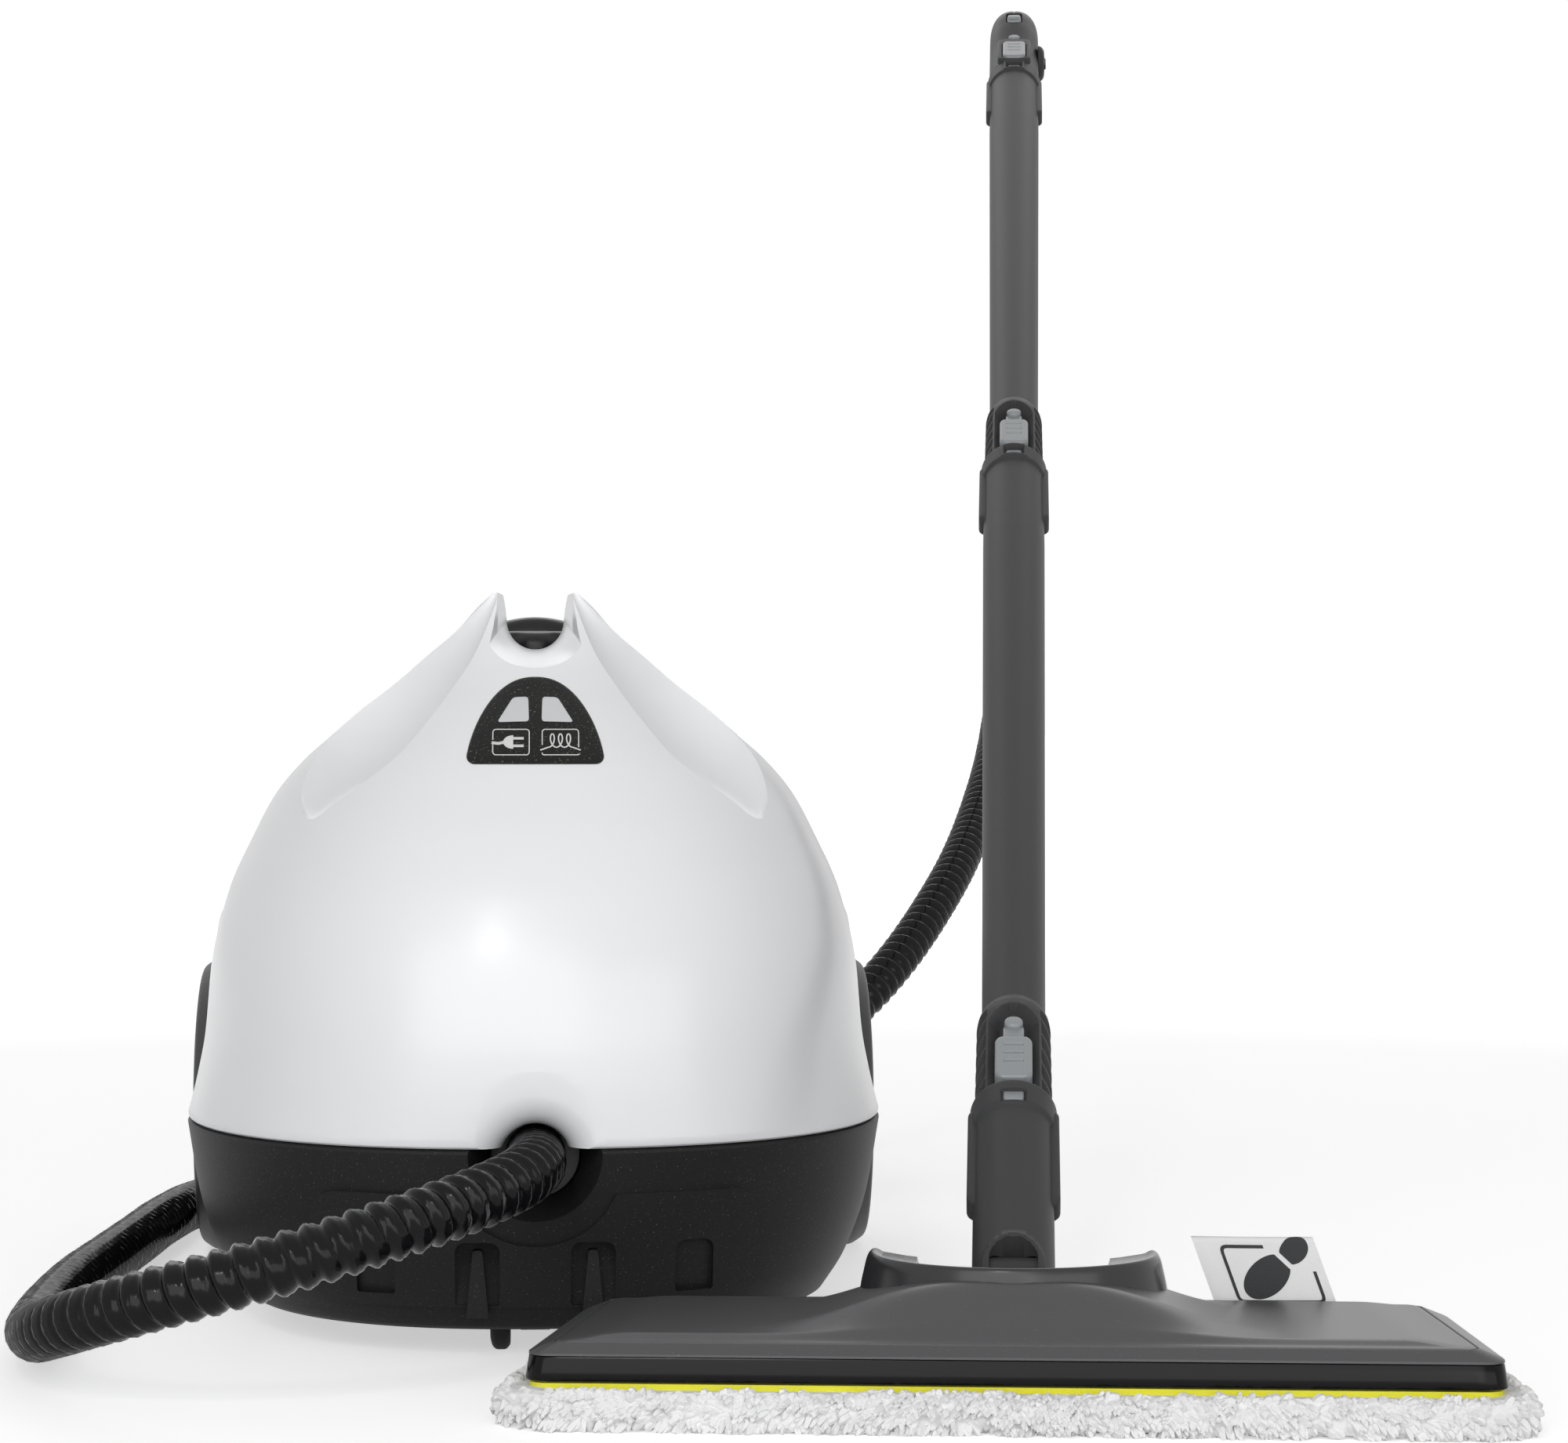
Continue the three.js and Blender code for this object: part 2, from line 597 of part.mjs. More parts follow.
// ---------- boiler and steam line ----------
function buildBoiler() {
  const out = boilerRadius;
  const lower = turned([
    [0, boilerBottom], [out - 18, boilerBottom + 3], [out - 5, boilerBottom + 10], [out, boilerBottom + 24],
    [out, boilerSeam - 2.5], [out + 5, boilerSeam - 2.5], [out + 5, boilerSeam - gap / 2],
    [out - boilerWall, boilerSeam - gap / 2], [out - boilerWall, boilerBottom + 24.5],
    [out - 6.5, boilerBottom + 11.7], [out - 18.5, boilerBottom + 5], [0, boilerBottom + 2],
  ], [0, boilerY, 0]);
  addPart(unit, 'boiler_lower', lower, 'steel');
  const upper = turned([
    [neckBore + 0.5, boilerTop], [out - 24, boilerTop - 4], [out - 8, boilerTop - 13], [out, boilerTop - 30],
    [out, boilerSeam + 2.5], [out + 5, boilerSeam + 2.5], [out + 5, boilerSeam + gap / 2],
    [out - boilerWall, boilerSeam + gap / 2], [out - boilerWall, boilerTop - 31],
    [out - 9.5, boilerTop - 14.6], [out - 24.8, boilerTop - 6], [neckBore + 0.5, boilerTop - 2],
  ], [0, boilerY, 0]);
  addPart(unit, 'boiler_upper', upper, 'steel');
  const neck = turned([
    [neckBore, boilerTop + gap], [neckBore + 9, boilerTop + gap], [neckBore + 9, boilerTop + 3],
    [neckBore + neckWall, boilerTop + 4], [neckBore + neckWall, neckTop], [neckBore, neckTop],
  ], [0, boilerY, 0]);
  addPart(unit, 'filler_neck', neck, 'brass');

  const cradleLow = trayFloor + gap;
  const legs = [45, 135, 225, 315].map((turn) => {
    const [x, y] = [(out + 1) * Math.cos(rad(turn)), boilerY + (out + 1) * Math.sin(rad(turn))];
    return rod([x, y, cradleLow], [x, y, boilerSeam - 8], 5, 5, 12);
  });
  const ringTop = boilerSeam - 2.5 - gap;
  const ring = turned([[out + gap, boilerSeam - 12], [out + 8, boilerSeam - 12], [out + 8, ringTop],
    [out + gap, ringTop]], [0, boilerY, 0]);
  const clear = rod([0, boilerY, 0], [0, boilerY, boilerSeam], out + gap);
  addPart(unit, 'boiler_cradle', cut(join(ring, ...legs), clear), 'black');

  const element = new THREE.TorusGeometry(38, 4, 6, 16);
  element.translate(0, boilerY, boilerBottom - 1.3);
  addPart(unit, 'heating_element', solid(element), 'steel');
  const thermostat = join(
    rod([0, boilerY, boilerBottom - 12], [0, boilerY, boilerBottom - gap], 9, 9, 20),
    block([6, 3, 6], [7, boilerY, boilerBottom - 14.5]), block([6, 3, 6], [-7, boilerY, boilerBottom - 14.5]),
  );
  addPart(unit, 'thermostat', thermostat, 'black');

  const valveY = boilerY - boilerRadius - 25;
  const valveHeight = boilerSeam + 34;
  const valve = join(
    block([24, 22, 24], [0, valveY, valveHeight]),
    rod([0, valveY, valveHeight + 11], [0, valveY, valveHeight + 34], 10, 10, 20),
    rod([0, valveY + 10, valveHeight], [0, boilerY - boilerRadius - gap, valveHeight], 4, 4, 16),
  );
  addPart(unit, 'steam_valve', valve, 'brass');
  const bushBack = -bodyLength / 2 + outletDepth + hoseGrip;
  const line = tubeAlong([
    [0, bushBack + 1, outletHeight], [0, bushBack + 14, outletHeight], [0, valveY - 6, outletHeight + 6],
    [0, valveY, outletHeight + 22], [0, valveY, valveHeight - 12 - gap],
  ], steamPipeRadius, 8, 10);
  addPart(unit, 'unit_steam_pipe', line, 'steel');

  const slope = Math.atan2(31, 30.1);
  const board = new THREE.BoxGeometry(34, 20, 1.6);
  board.rotateX(slope);
  const seat = frontPoint(0, lampHeight);
  board.translate(0, seat.y + boardDepth * Math.sin(slope), seat.z - boardDepth * Math.cos(slope));
  addPart(unit, 'lamp_board', solid(board), 'board');
}

// ---------- wheels and castor ----------
function buildWheels() {
  const axleEnd = wheelInnerX + 20;
  const axle = rod([-axleEnd, wheelY, wheelRadius], [axleEnd, wheelY, wheelRadius], axleRadius);
  addPart(unit, 'wheel_axle', axle, 'steel');
  const rim = wheelInnerX + wheelWidth;
  const wheelProfile = [
    [axleRadius + gap, wheelInnerX], [16, wheelInnerX], [18, wheelInnerX + 6], [44, wheelInnerX + 6],
    [48, wheelInnerX], [57, wheelInnerX], [wheelRadius, wheelInnerX + 4], [wheelRadius, rim - 6], [56, rim],
    [47, rim], [43, rim - 5], [28, rim - 2], [28, rim - 5], [axleRadius + gap, rim - 5],
  ];
  const capProfile = [
    [0, axleEnd + 1 + gap], [hubCapRadius, rim - 5 + gap], [hubCapRadius + 1, rim - 2],
    [hubCapRadius - 4, rim + 1], [0, rim + 2],
  ];
  for (const [name, side] of [['left', -1], ['right', 1]]) {
    const turnOut = new THREE.Matrix4().makeRotationY((side * Math.PI) / 2);
    turnOut.setPosition(0, wheelY, wheelRadius);
    addPart(unit, `wheel_${name}`, turned(wheelProfile, turnOut, 20), 'black');
    addPart(unit, `hub_cap_${name}`, turned(capProfile, turnOut), 'black');
  }
  buildCastor();
}

function buildCastor() {
  const axleY = castorY - castorTrail;
  const stem = (from, to, radius) => rod([0, castorY, from], [0, castorY, to], radius, radius, 20);
  const across = (from, to, radius, sides = 12) =>
    rod([from, axleY, castorWheelRadius], [to, axleY, castorWheelRadius], radius, radius, sides);
  const legTop = castorPocketTop - 3;
  const leg = block([10, 12, legTop - castorWheelRadius], [0, axleY + 2, (legTop + castorWheelRadius) / 2]);
  const fork = cut(join(stem(castorPocketTop - 4, castorPocketTop - gap, 16), leg, across(-5, 5, 6),
    stem(castorPocketTop - 1, castorPocketTop + wall + 12, castorStemRadius)),
  across(-9, 9, castorAxleRadius + gap));
  addPart(unit, 'castor_fork', fork, 'black');
  const rims = [-1, 1].map((side) => across(side * (castorTrack - castorRimWidth / 2),
    side * (castorTrack + castorRimWidth / 2), castorWheelRadius, 20));
  addPart(unit, 'castor_wheel', join(...rims, across(-castorTrack, castorTrack, castorAxleRadius)), 'rubber');
}

// ---------- safety cap ----------
function buildCap() {
  const sealTop = neckTop + 2 + gap;
  addPart(unit, 'cap_seal', turned([[neckBore + gap, neckTop + gap], [neckBore + neckWall, neckTop + gap],
    [neckBore + neckWall, sealTop], [neckBore + gap, sealTop]], [0, boilerY, 0]), 'rubber');
  const plug = turned([
    [0, neckTop - 24], [neckBore - 2, neckTop - 24], [neckBore - gap, neckTop - 20],
    [neckBore - gap, sealTop + gap], [neckBore + 6, sealTop + gap], [neckBore + 6, sealTop + 4],
    [9, sealTop + 5], [9, capTop - 12], [0, capTop - 12],
  ], [0, boilerY, 0]);
  addPart(unit, 'cap_plug', plug, 'brass');
  const grip = turned([
    [0, capTop], [capRadius - 7, capTop - 1.5], [capRadius - 1, capTop - 7], [capRadius, capBottom],
    [capRadius - wall, capBottom], [capRadius - wall, capTop - 9], [13, capTop - 7], [13, sealTop + 8],
    [9 + gap, sealTop + 8], [9 + gap, capTop - 12 + gap], [0, capTop - 12 + gap],
  ], [0, boilerY, 0], 20);
  addPart(unit, 'cap_grip', grip, 'black');
}

// ---------- push-fit joints of the mop ----------
// In these frames z = 0 is the collar's mouth, +Z runs up the stick and -Y faces up.
const baseLow = plugRadius - 2.4; // underside of the latch bar
const baseHigh = plugRadius - 0.4;

function latchBody(topReach) {
  const bar = block([tongueWidth, baseHigh - baseLow, 54], [0, -(baseHigh + baseLow) / 2, 14]);
  const button = slab(roundedOutline(latchWidth, 25, 3.5, [0, 14.8]), topReach - baseLow, 1,
    facingUp(baseLow));
  const headOutline = roundedOutline(6.5, 13, 2.6, [0, 34.6]);
  const head = slab(headOutline, topReach - 1.2 - baseLow, 0.8, facingUp(baseLow));
  const tongueTop = collarRadius - 0.5;
  const tongue = block([tongueWidth, tongueTop - baseLow, 9], [0, -(tongueTop + baseLow) / 2, -8.5]);
  return join(bar, button, head, tongue);
}

// Lays a slab's outline on the upper side of the stick: y becomes z, thickness grows towards -Y.
function facingUp(reach) {
  return new THREE.Matrix4().makeRotationX(Math.PI / 2).setPosition(0, -reach, 0);
}

function latchRoom(width, top) {
  const floor = baseLow - latchTravel - gap;
  const depth = 30 - floor;
  const channel = block([tongueWidth + 2 * gap, depth, 13.5 + gap], [0, -floor - depth / 2, -6.75]);
  const outline = roundedOutline(width, top + 1, width / 2 - 0.5, [0, (top - 1) / 2]);
  const pocket = slab(outline, depth, 0, facingUp(floor));
  const square = block([width, depth, top - width / 2], [0, -floor - depth / 2, (top - width / 2) / 2]);
  return join(channel, pocket, square);
}

const sealLow = -plugLength + 4;
const sealHigh = -plugLength + 7;

function plugBody(top) {
  const body = rod([0, 0, -plugLength], [0, 0, top], plugRadius);
  const groove = turned([[plugRadius - 2.2, sealLow - gap], [plugRadius + 3, sealLow - gap],
    [plugRadius + 3, sealHigh + gap], [plugRadius - 2.2, sealHigh + gap]]);
  return cut(body, groove);
}

function sealRing() {
  return turned([[plugRadius - 2.2 + gap, sealLow], [plugRadius + 0.1, sealLow], [plugRadius + 0.1, sealHigh],
    [plugRadius - 2.2 + gap, sealHigh]]);
}

// Female end: mouth at z = top, with rim, side wings, socket and tongue window.
function collarShape(top, below) {
  const tube = rod([0, 0, below], [0, 0, top], collarRadius);
  const rim = rod([0, 0, top - rimLength], [0, 0, top], rimRadius - 0.6, rimRadius);
  const wingMiddle = top - rimLength - wingLength / 2 + 3;
  const wingOutline = roundedOutline(2 * wingReach, wingLength + 6, 4, [0, wingMiddle]);
  const wings = slab(wingOutline, wingThickness, 1.5, facingUp(-wingThickness / 2));
  return join(tube, rim, wings);
}

function collarCuts(top) {
  const socket = rod([0, 0, top - plugLength - 1], [0, 0, top + 1], plugRadius + 0.4);
  const window = block([tongueWidth + 1.2, 12, 9 + 1.2], [0, -collarRadius - 1, top - 8.5]);
  const lead = block([tongueWidth + 1.2, 8, 30], [0, -plugRadius + 1, top - 3]);
  return [socket, window, lead.intersect(rod([0, 0, top - 14], [0, 0, top + 1], plugRadius + 1.3))];
}

function buildTube(group, name) {
  const end = tubePitch;
  const shaftEnd = end - rimLength - wingLength;
  const shaft = rod([0, 0, sleeveLength - 4], [0, 0, shaftEnd], tubeSmallRadius, collarRadius);
  const sleeve = rod([0, 0, gap], [0, 0, sleeveLength], sleeveRadius, sleeveRadius - 0.4);
  const body = cut(join(plugBody(2), sleeve, shaft, collarShape(end, end - rimLength - wingLength - 2)),
    latchRoom(latchWidth + 2, 45), ...collarCuts(end),
    rod([0, 0, sleeveLength + 4], [0, 0, end - plugLength - 4], tubeBore, tubeBore + 1.6),
    rod([0, 0, -50], [0, 0, end], innerPipeRadius + gap, innerPipeRadius + gap, 12));
  addPart(group, `tube_${name}`, body, 'charcoal');
  addPart(group, `latch_${name}`, latchBody(14.4), 'grey');
  addPart(group, `seal_${name}`, sealRing(), 'rubber');
  const pipeRod = (from, to, radius) => rod([0, 0, from], [0, 0, to], radius, radius, 12);
  const pipe = pipeRod(-plugLength + 1, end - plugLength - 1 - gap, innerPipeRadius);
  addPart(group, `inner_pipe_${name}`, cut(pipe, pipeRod(-60, end + 9, innerPipeRadius - 1.2)), 'white');
}

// ---------- steam gun ----------
// The grip's middle line leaves the barrel at z = gunBarrel and turns towards +Y.
const gripDirection = [Math.sin(rad(gripTurn)), Math.cos(rad(gripTurn))];
const gripAt = (along, across) => [
  along * gripDirection[0] - across * gripDirection[1],
  gunBarrel + along * gripDirection[1] + across * gripDirection[0],
];

function gunOutline() {
  const half = gunWidth / 2;
  const grip = gripWidth / 2;
  const outline = [[half, 0]];
  const [innerY, innerZ] = gripAt(half * 0.6 + grip + 6, -grip);
  outline.push([half, innerZ - 14], [half + 2.5, innerZ - 8], [half + 8, innerZ - 2.5],
    [innerY + 5, innerZ + 1]);
  outline.push(gripAt(gripLength * 0.55, -grip - 1.5), gripAt(gripLength - 6, -grip + 1));
  outline.push(gripAt(gripLength, -grip + 6), gripAt(gripLength, grip - 6), gripAt(gripLength - 6, grip - 1));
  outline.push(gripAt(gripLength * 0.5, grip + 1));
  outline.push(gripAt(8, grip));
  for (let i = 1; i < 5; i += 1) {
    const turn = rad(90 + (90 * i) / 5);
    outline.push([half * 1.1 * Math.cos(turn), gunBarrel - 4 + (grip + 6) * Math.sin(turn)]);
  }
  outline.push([-half, gunBarrel - 10], [-half, 0]);
  return outline;
}

// Lays a slab of that width across the gun: its outline's plane becomes the y-z plane.
function sideways(width) {
  return new THREE.Matrix4().makeBasis(v3(0, 1, 0), v3(0, 0, 1), v3(1, 0, 0)).setPosition(-width / 2, 0, 0);
}

// Half of the gun: the outline lies in the y-z plane and is pushed outwards along x.
function gunHalf(side) {
  const outline = gunOutline();
  const whole = slab(outline, gunWidth, 5, sideways(gunWidth));
  const half = block([40, 400, 400], [side * (20 + gap / 2), 0, 0]);
  return whole.intersect(half);
}

const steamLine = () => [
  [0, steamPipeDrop, 12 + gap], [0, steamPipeDrop, 40], [0, steamPipeDrop, 62], [0, 4, gunBarrel + 1],
  [0, ...gripAt(26, 0)], [0, ...gripAt(gripLength / 2, 0)], [0, ...gripAt(gripLength - 8, 0)],
];
const triggerPivot = [6, 58];
const dialHeight = 34;
const triggerWidth = 11.6;
const lockHeight = 77;

function buildGun() {
  const latchSpace = latchRoom(latchWidth + 1, 44);
  const connectorSeat = join(rod([0, 0, -1], [0, 0, 12 + gap], plugRadius + gap),
    rod([0, 0, 5 - gap], [0, 0, 10 + gap], plugRadius + 2 + gap));
  const onGrip = (along) => [0, ...gripAt(gripLength + along, 0)];
  const gripRod = (from, to, radius, endRadius) => rod(onGrip(from), onGrip(to), radius, endRadius);
  const pipeBore = steamPipeRadius + gap;
  const pipeRoom = join(tubeAlong(steamLine(), pipeBore, 8, 14), gripRod(-12, 5, pipeBore));
  const triggerSlot = join(
    rod([-6.5, ...triggerPivot], [6.5, ...triggerPivot], 7),
    block([13, 26, 34], [0, 19, 64]), block([13, 60, 9], [0, 48, 74]),
  );
  const pinBore = rod([-20, ...triggerPivot], [20, ...triggerPivot], 2 + gap, 2 + gap, 12);
  const lockSlot = block([8.6, 12, 17], [0, -gunWidth / 2, lockHeight]);
  const dialBore = rod([7, 0, dialHeight], [20, 0, dialHeight], 3 + gap, 3 + gap, 16);
  const rooms = [latchSpace, connectorSeat, pipeRoom, triggerSlot, pinBore, lockSlot, dialBore,
    gripRod(-14, 2, 9 + gap), rod([0, 0, -5], [0, 0, gap], 30, 30, 12)];
  for (const [name, side] of [['left', -1], ['right', 1]]) {
    const shell = cut(gunHalf(side), ...rooms);
    addPart(gun, `gun_shell_${name}`, shell, 'charcoal');
  }
  const connector = cut(join(plugBody(12), rod([0, 0, 5], [0, 0, 10], plugRadius + 2)), latchSpace,
    rod([0, 0, -40], [0, 0, 20], innerPipeRadius + gap, innerPipeRadius + gap, 12));
  addPart(gun, 'gun_connector', connector, 'charcoal');
  addPart(gun, 'gun_seal', sealRing(), 'rubber');
  addPart(gun, 'gun_latch', latchBody(16.6), 'grey');
  addPart(gun, 'gun_pipe', tubeAlong(steamLine(), steamPipeRadius, 8, 14), 'steel');
  addPart(gun, 'trigger_pin', rod([-13, ...triggerPivot], [13, ...triggerPivot], 2, 2, 12), 'steel');

  const [tipY, tipZ] = [74, 70];
  const lever = slab([
    [1.8, 53.8], [8, 51.5], [16, 53], [30, 61], [50, 65], [tipY, tipZ], [tipY + 1, tipZ + 3],
    [tipY - 2, tipZ + 6], [50, 71.5], [28, 68], [17, 65.5], [11, 64], [5, 64], [1, 60],
  ], triggerWidth, 1, sideways(triggerWidth));
  addPart(gun, 'trigger', cut(lever, pinBore), 'grey');

  const flank = gunWidth / 2;
  const dialDisc = rod([flank + gap, 0, dialHeight], [flank + 3.5, 0, dialHeight], 10, 7.5, 20);
  const dialStem = rod([8, 0, dialHeight], [flank + 1, 0, dialHeight], 3);
  const dialBar = block([1.6, 3, 13], [flank + 3.6, 0, dialHeight]);
  addPart(gun, 'steam_selector', join(dialDisc, dialStem, dialBar), 'charcoal');
  const lockFoot = block([8, 4, 9], [0, -flank + 2.4, lockHeight]);
  const lockButton = block([7, 3, 5], [0, -flank - 0.8, lockHeight]);
  addPart(gun, 'child_lock', join(lockFoot, lockButton), 'grey');

  const sleeve = cut(join(gripRod(-13.5, 3, 9), gripRod(gap, 34, 14, 12.5)), gripRod(6, 40, hoseRadius + gap),
    gripRod(20, 36, hoseRadius + gap, hoseRadius + 1), gripRod(-20, 8, pipeBore));
  addPart(gun, 'hose_sleeve', sleeve, 'rubber');
}

// ---------- neck and floor head ----------
function buildNeck() {
  const tubeStart = 19;
  const cheek = (side) => {
    const mid = (side * (cheekInner + gap + collarRadius)) / 2;
    const thick = collarRadius - cheekInner - gap;
    return join(
      rod([mid - (side * thick) / 2, 0, 0], [mid + (side * thick) / 2, 0, 0], cheekRadius, cheekRadius, 24),
      block([thick, 2 * cheekRadius, tubeStart + 3], [mid, 0, (tubeStart + 3) / 2]),
    ).intersect(rod([0, 0, -20], [0, 0, 30], collarRadius));
  };
  const body = cut(join(collarShape(neckLength, tubeStart), cheek(1), cheek(-1)),
    ...collarCuts(neckLength),
    rod([0, 0, tubeStart + 4], [0, 0, neckLength - plugLength - 4], tubeBore),
    rod([0, 0, tubeStart - 5], [0, 0, neckLength], innerPipeRadius + gap, innerPipeRadius + gap, 12),
    rod([-40, 0, 0], [40, 0, 0], tiltPinRadius + gap / 2),
    rod([-cheekInner - gap, 0, 8], [cheekInner + gap, 0, 8], crossRadius + 4, crossRadius + 4, 24));
  addPart(stick, 'nozzle_neck', body, 'charcoal');
  addPart(stick, 'tilt_pin', rod([1 - collarRadius, 0, 0], [collarRadius - 1, 0, 0], tiltPinRadius), 'steel');
}

// In the mop's frame the pivot is the origin, +Y is the way the mop points and the floor is below.
const up = (height) => height - pivot[2];

function headRing(front, back, frontHalf, backHalf, corner, height) {
  const ring = [];
  const corners = [
    [frontHalf, -front, -90], [backHalf, back, 0], [-backHalf, back, 90], [-frontHalf, -front, 180],
  ];
  for (const [x, y, start] of corners) {
    for (let i = 0; i <= 4; i += 1) {
      const turn = rad(start + (90 * i) / 4);
      const cx = x - Math.sign(x) * corner;
      const cy = y - Math.sign(y) * corner;
      ring.push(v3(cx + corner * Math.cos(turn), cy + corner * Math.sin(turn), height));
    }
  }
  return ring;
}

// Height of the cover's top: a flat skirt that swells into a dome round the joint.
function coverHeight(x, y) {
  const swell = Math.exp(-((x / 62) ** 2) - ((y + 6) / 48) ** 2);
  return headCrease + 4 + (headCrown - headCrease - 4) * swell;
}

function coverSolid(inset, lower, drop, shares = [1, 0.82, 0.64, 0.46, 0.3, 0.14]) {
  const [half, backHalf] = [headWidth / 2 - inset, headBackWidth / 2 - inset];
  const [front, back] = [headFront - inset, headBack - inset];
  const ringAt = (shrink, taper, height) =>
    headRing(front - shrink, back - shrink, half - shrink, backHalf - shrink - taper, headCorner, height);
  const rings = [
    ringAt(0, 0, up(lower)), ringAt(0, 0, up(bandTop - drop)), ringAt(3.5, coverTaper, up(headCrease - drop)),
  ];
  const base = ringAt(9, coverTaper, 0);
  for (const share of shares) {
    rings.push(base.map((p) => {
      const x = p.x * share;
      const y = -18 + (p.y + 18) * share;
      const flat = share === 1 ? headCrease + 1.6 : coverHeight(x, y);
      return v3(x, y, up(flat - drop));
    }));
  }
  return loft(rings);
}

// Pocket in the head that the neck tilts and leans in, open to the back.
function neckPocket() {
  const corner = (half, rise) => [v3(-half, -pocketFront, up(rise)), v3(half, -pocketFront, up(rise)),
    v3(half, 60, up(rise)), v3(-half, 60, up(rise))];
  return loft([corner(jointPocket, pocketFloor), corner(jointPocket + 9, pocketFloor + 34)]);
}

// Block that holds the cross piece's stub, reaching down through the cover.
function bearingBlock(growth) {
  const [low, high] = [24 - growth, 41 + growth];
  return block([2 * (bearingHalf + growth), bearingLength + 2 * growth, high - low],
    [0, -pocketFront - gap - bearingLength / 2, up((low + high) / 2)]);
}

function crescentRing(halfWidth, front, height) {
  const ring = [];
  for (let i = 0; i < 24; i += 1) {
    const turn = (2 * Math.PI * i) / 24;
    ring.push(v3(halfWidth * Math.cos(turn), front * Math.sin(turn), up(height)));
  }
  return ring;
}

function buildHead() {
  const skirt = backingTop + gap;
  const plateTop = skirt + 2.5;
  const pocketWall = block([2 * (jointPocket + 10), 80, 60], [0, 40 - pocketFront - wall, up(0)]);
  const bearingWall = block([2 * (bearingHalf + wall), 30, 60], [0, -pocketFront - 12, up(0)]);
  const hollow = cut(coverSolid(headWall, skirt - 1, headWall, [1, 0.5, 0.2]), pocketWall, bearingWall);
  const cover = cut(coverSolid(0, skirt, 0), hollow, neckPocket(), bearingBlock(gap),
    headSlab(headWall - 0.4, 0, plateTop + gap));
  addPart(mop, 'head_cover', cover, 'charcoal');

  const bowl = loft([crescentRing(jointPocket + 3, pocketFront + 3, 38), crescentRing(collarReach - 3,
    collarFront - 3, collarTop + 0.1)]);
  const crescent = cut(loft([crescentRing(collarReach + 4, collarFront + 3, 24),
    crescentRing(collarReach, collarFront, collarTop)]), bowl, neckPocket(), coverSolid(0, skirt, -gap),
  block([200, 60, 60], [0, 38, up(40)]));
  const stubBore = rod([0, -60, 0], [0, 0, 0], stubRadius + gap / 2, stubRadius + gap / 2, 20);
  const stubEnd = block([20, 20, 20], [0, -pocketFront - bearingLength - 8, 0]);
  addPart(mop, 'head_collar', cut(join(crescent, bearingBlock(0)), stubBore.subtract(stubEnd)), 'gloss');

  const cross = cut(join(
    rod([-cheekInner, 0, 0], [cheekInner, 0, 0], crossRadius, crossRadius, 20),
    rod([0, -5, 0], [0, -pocketFront - bearingLength + 3, 0], stubRadius, stubRadius, 20),
  ), rod([-20, 0, 0], [20, 0, 0], tiltPinRadius + gap / 2));
  addPart(mop, 'cross_piece', cross, 'charcoal');

  const plate = cut(headSlab(headWall, skirt, plateTop), ...[-60, 0, 60].map((x) =>
    rod([x, -40, up(0)], [x, -40, up(30)], 3, 3, 12)));
  addPart(mop, 'base_plate', plate, 'black');
  addPart(mop, 'hook_and_loop', headSlab(1, clothThickness + gap, backingTop), 'yellow');
  const clothRows = [[5, 0], [1, 2.4], [0, 5], [1, 8.4], [4, clothThickness]];
  const clothRing = ([inset, height]) => headRing(headFront + clothOverhang - inset,
    headBack + clothBackOverhang - inset, headWidth / 2 + clothOverhang - inset,
    headBackWidth / 2 + clothOverhang - inset, 16, up(height));
  addPart(mop, 'floor_cloth', loft(clothRows.map(clothRing)), 'cloth');
  addPart(mop, 'foot_tag', block([tagWidth, 1.4, tagTop - clothThickness - gap],
    [tagX, headBack + 4, up((tagTop + clothThickness + gap) / 2)]), 'cloth');
}

function headSlab(inset, low, high) {
  const ring = (height) => headRing(headFront - inset, headBack - inset, headWidth / 2 - inset,
    headBackWidth / 2 - inset, headCorner, up(height));
  return loft([ring(low), ring(high)]);
}

// ---------- hose ----------
// Leaves the unit ahead, rounds its left side on the floor, passes behind it and rises to the gun's grip.
const hoseRoute = [
  [-0.6, -200, 70], [-5.8, -221.5, 68.4], [-18.9, -243.7, 65], [-40.2, -261.7, 59.4], [-66.5, -271.3, 52.1],
  [-94.5, -271.3, 44.2], [-120.7, -261.7, 36.2], [-142.2, -243.7, 28.3], [-156.1, -219.5, 21.5],
  [-164, -190, 16], [-168.5, -150, 12], [-170, -105, 10.9], [-168, -40, 10.9], [-163, 20, 10.9],
  [-158, 80, 10.9], [-153, 140, 10.9], [-143, 196, 10.9], [-115, 246, 10.9], [-70, 280, 10.9],
  [-16, 302, 11.5], [42, 322, 19], [100, 352, 43], [160, 402, 84], [207, 485, 132], [240, 590, 180],
  [263, 700, 230], [281, 805, 287], [290.5, 869.5, 333.5], [295.6, 912, 374.5], [298.4, 935, 407],
  [298.8, 942.3, 440], [297.5, 934.9, 473.1],
];

function buildHose() {
  machine.updateMatrixWorld(true);
  const mouth = -bodyLength / 2 + outletDepth + unitSetBack;
  const outlet = [[0, mouth + hoseGrip - gap, outletHeight], [0, mouth - 4, outletHeight]];
  const onGrip = (along) => gun.localToWorld(v3(0, ...gripAt(gripLength + along, 0))).toArray();
  const butt = [40, 22, 6 + gap].map(onGrip);
  const hose = tubeAlong([...outlet, ...hoseRoute, ...butt], hoseRadius, hoseSides, hoseSteps);
  addPart(machine, 'hose_tube', hose, 'gloss');
}

// The origin is the middle of the footprint of all that isn't hose, on the floor.
function centreOnFootprint() {
  machine.updateMatrixWorld(true);
  const box = new THREE.Box3();
  for (const group of [unit, mop]) box.expandByObject(group, true);
  const middle = box.getCenter(v3(0, 0, 0));
  machine.position.set(-middle.x, -middle.y, -box.min.z);
}

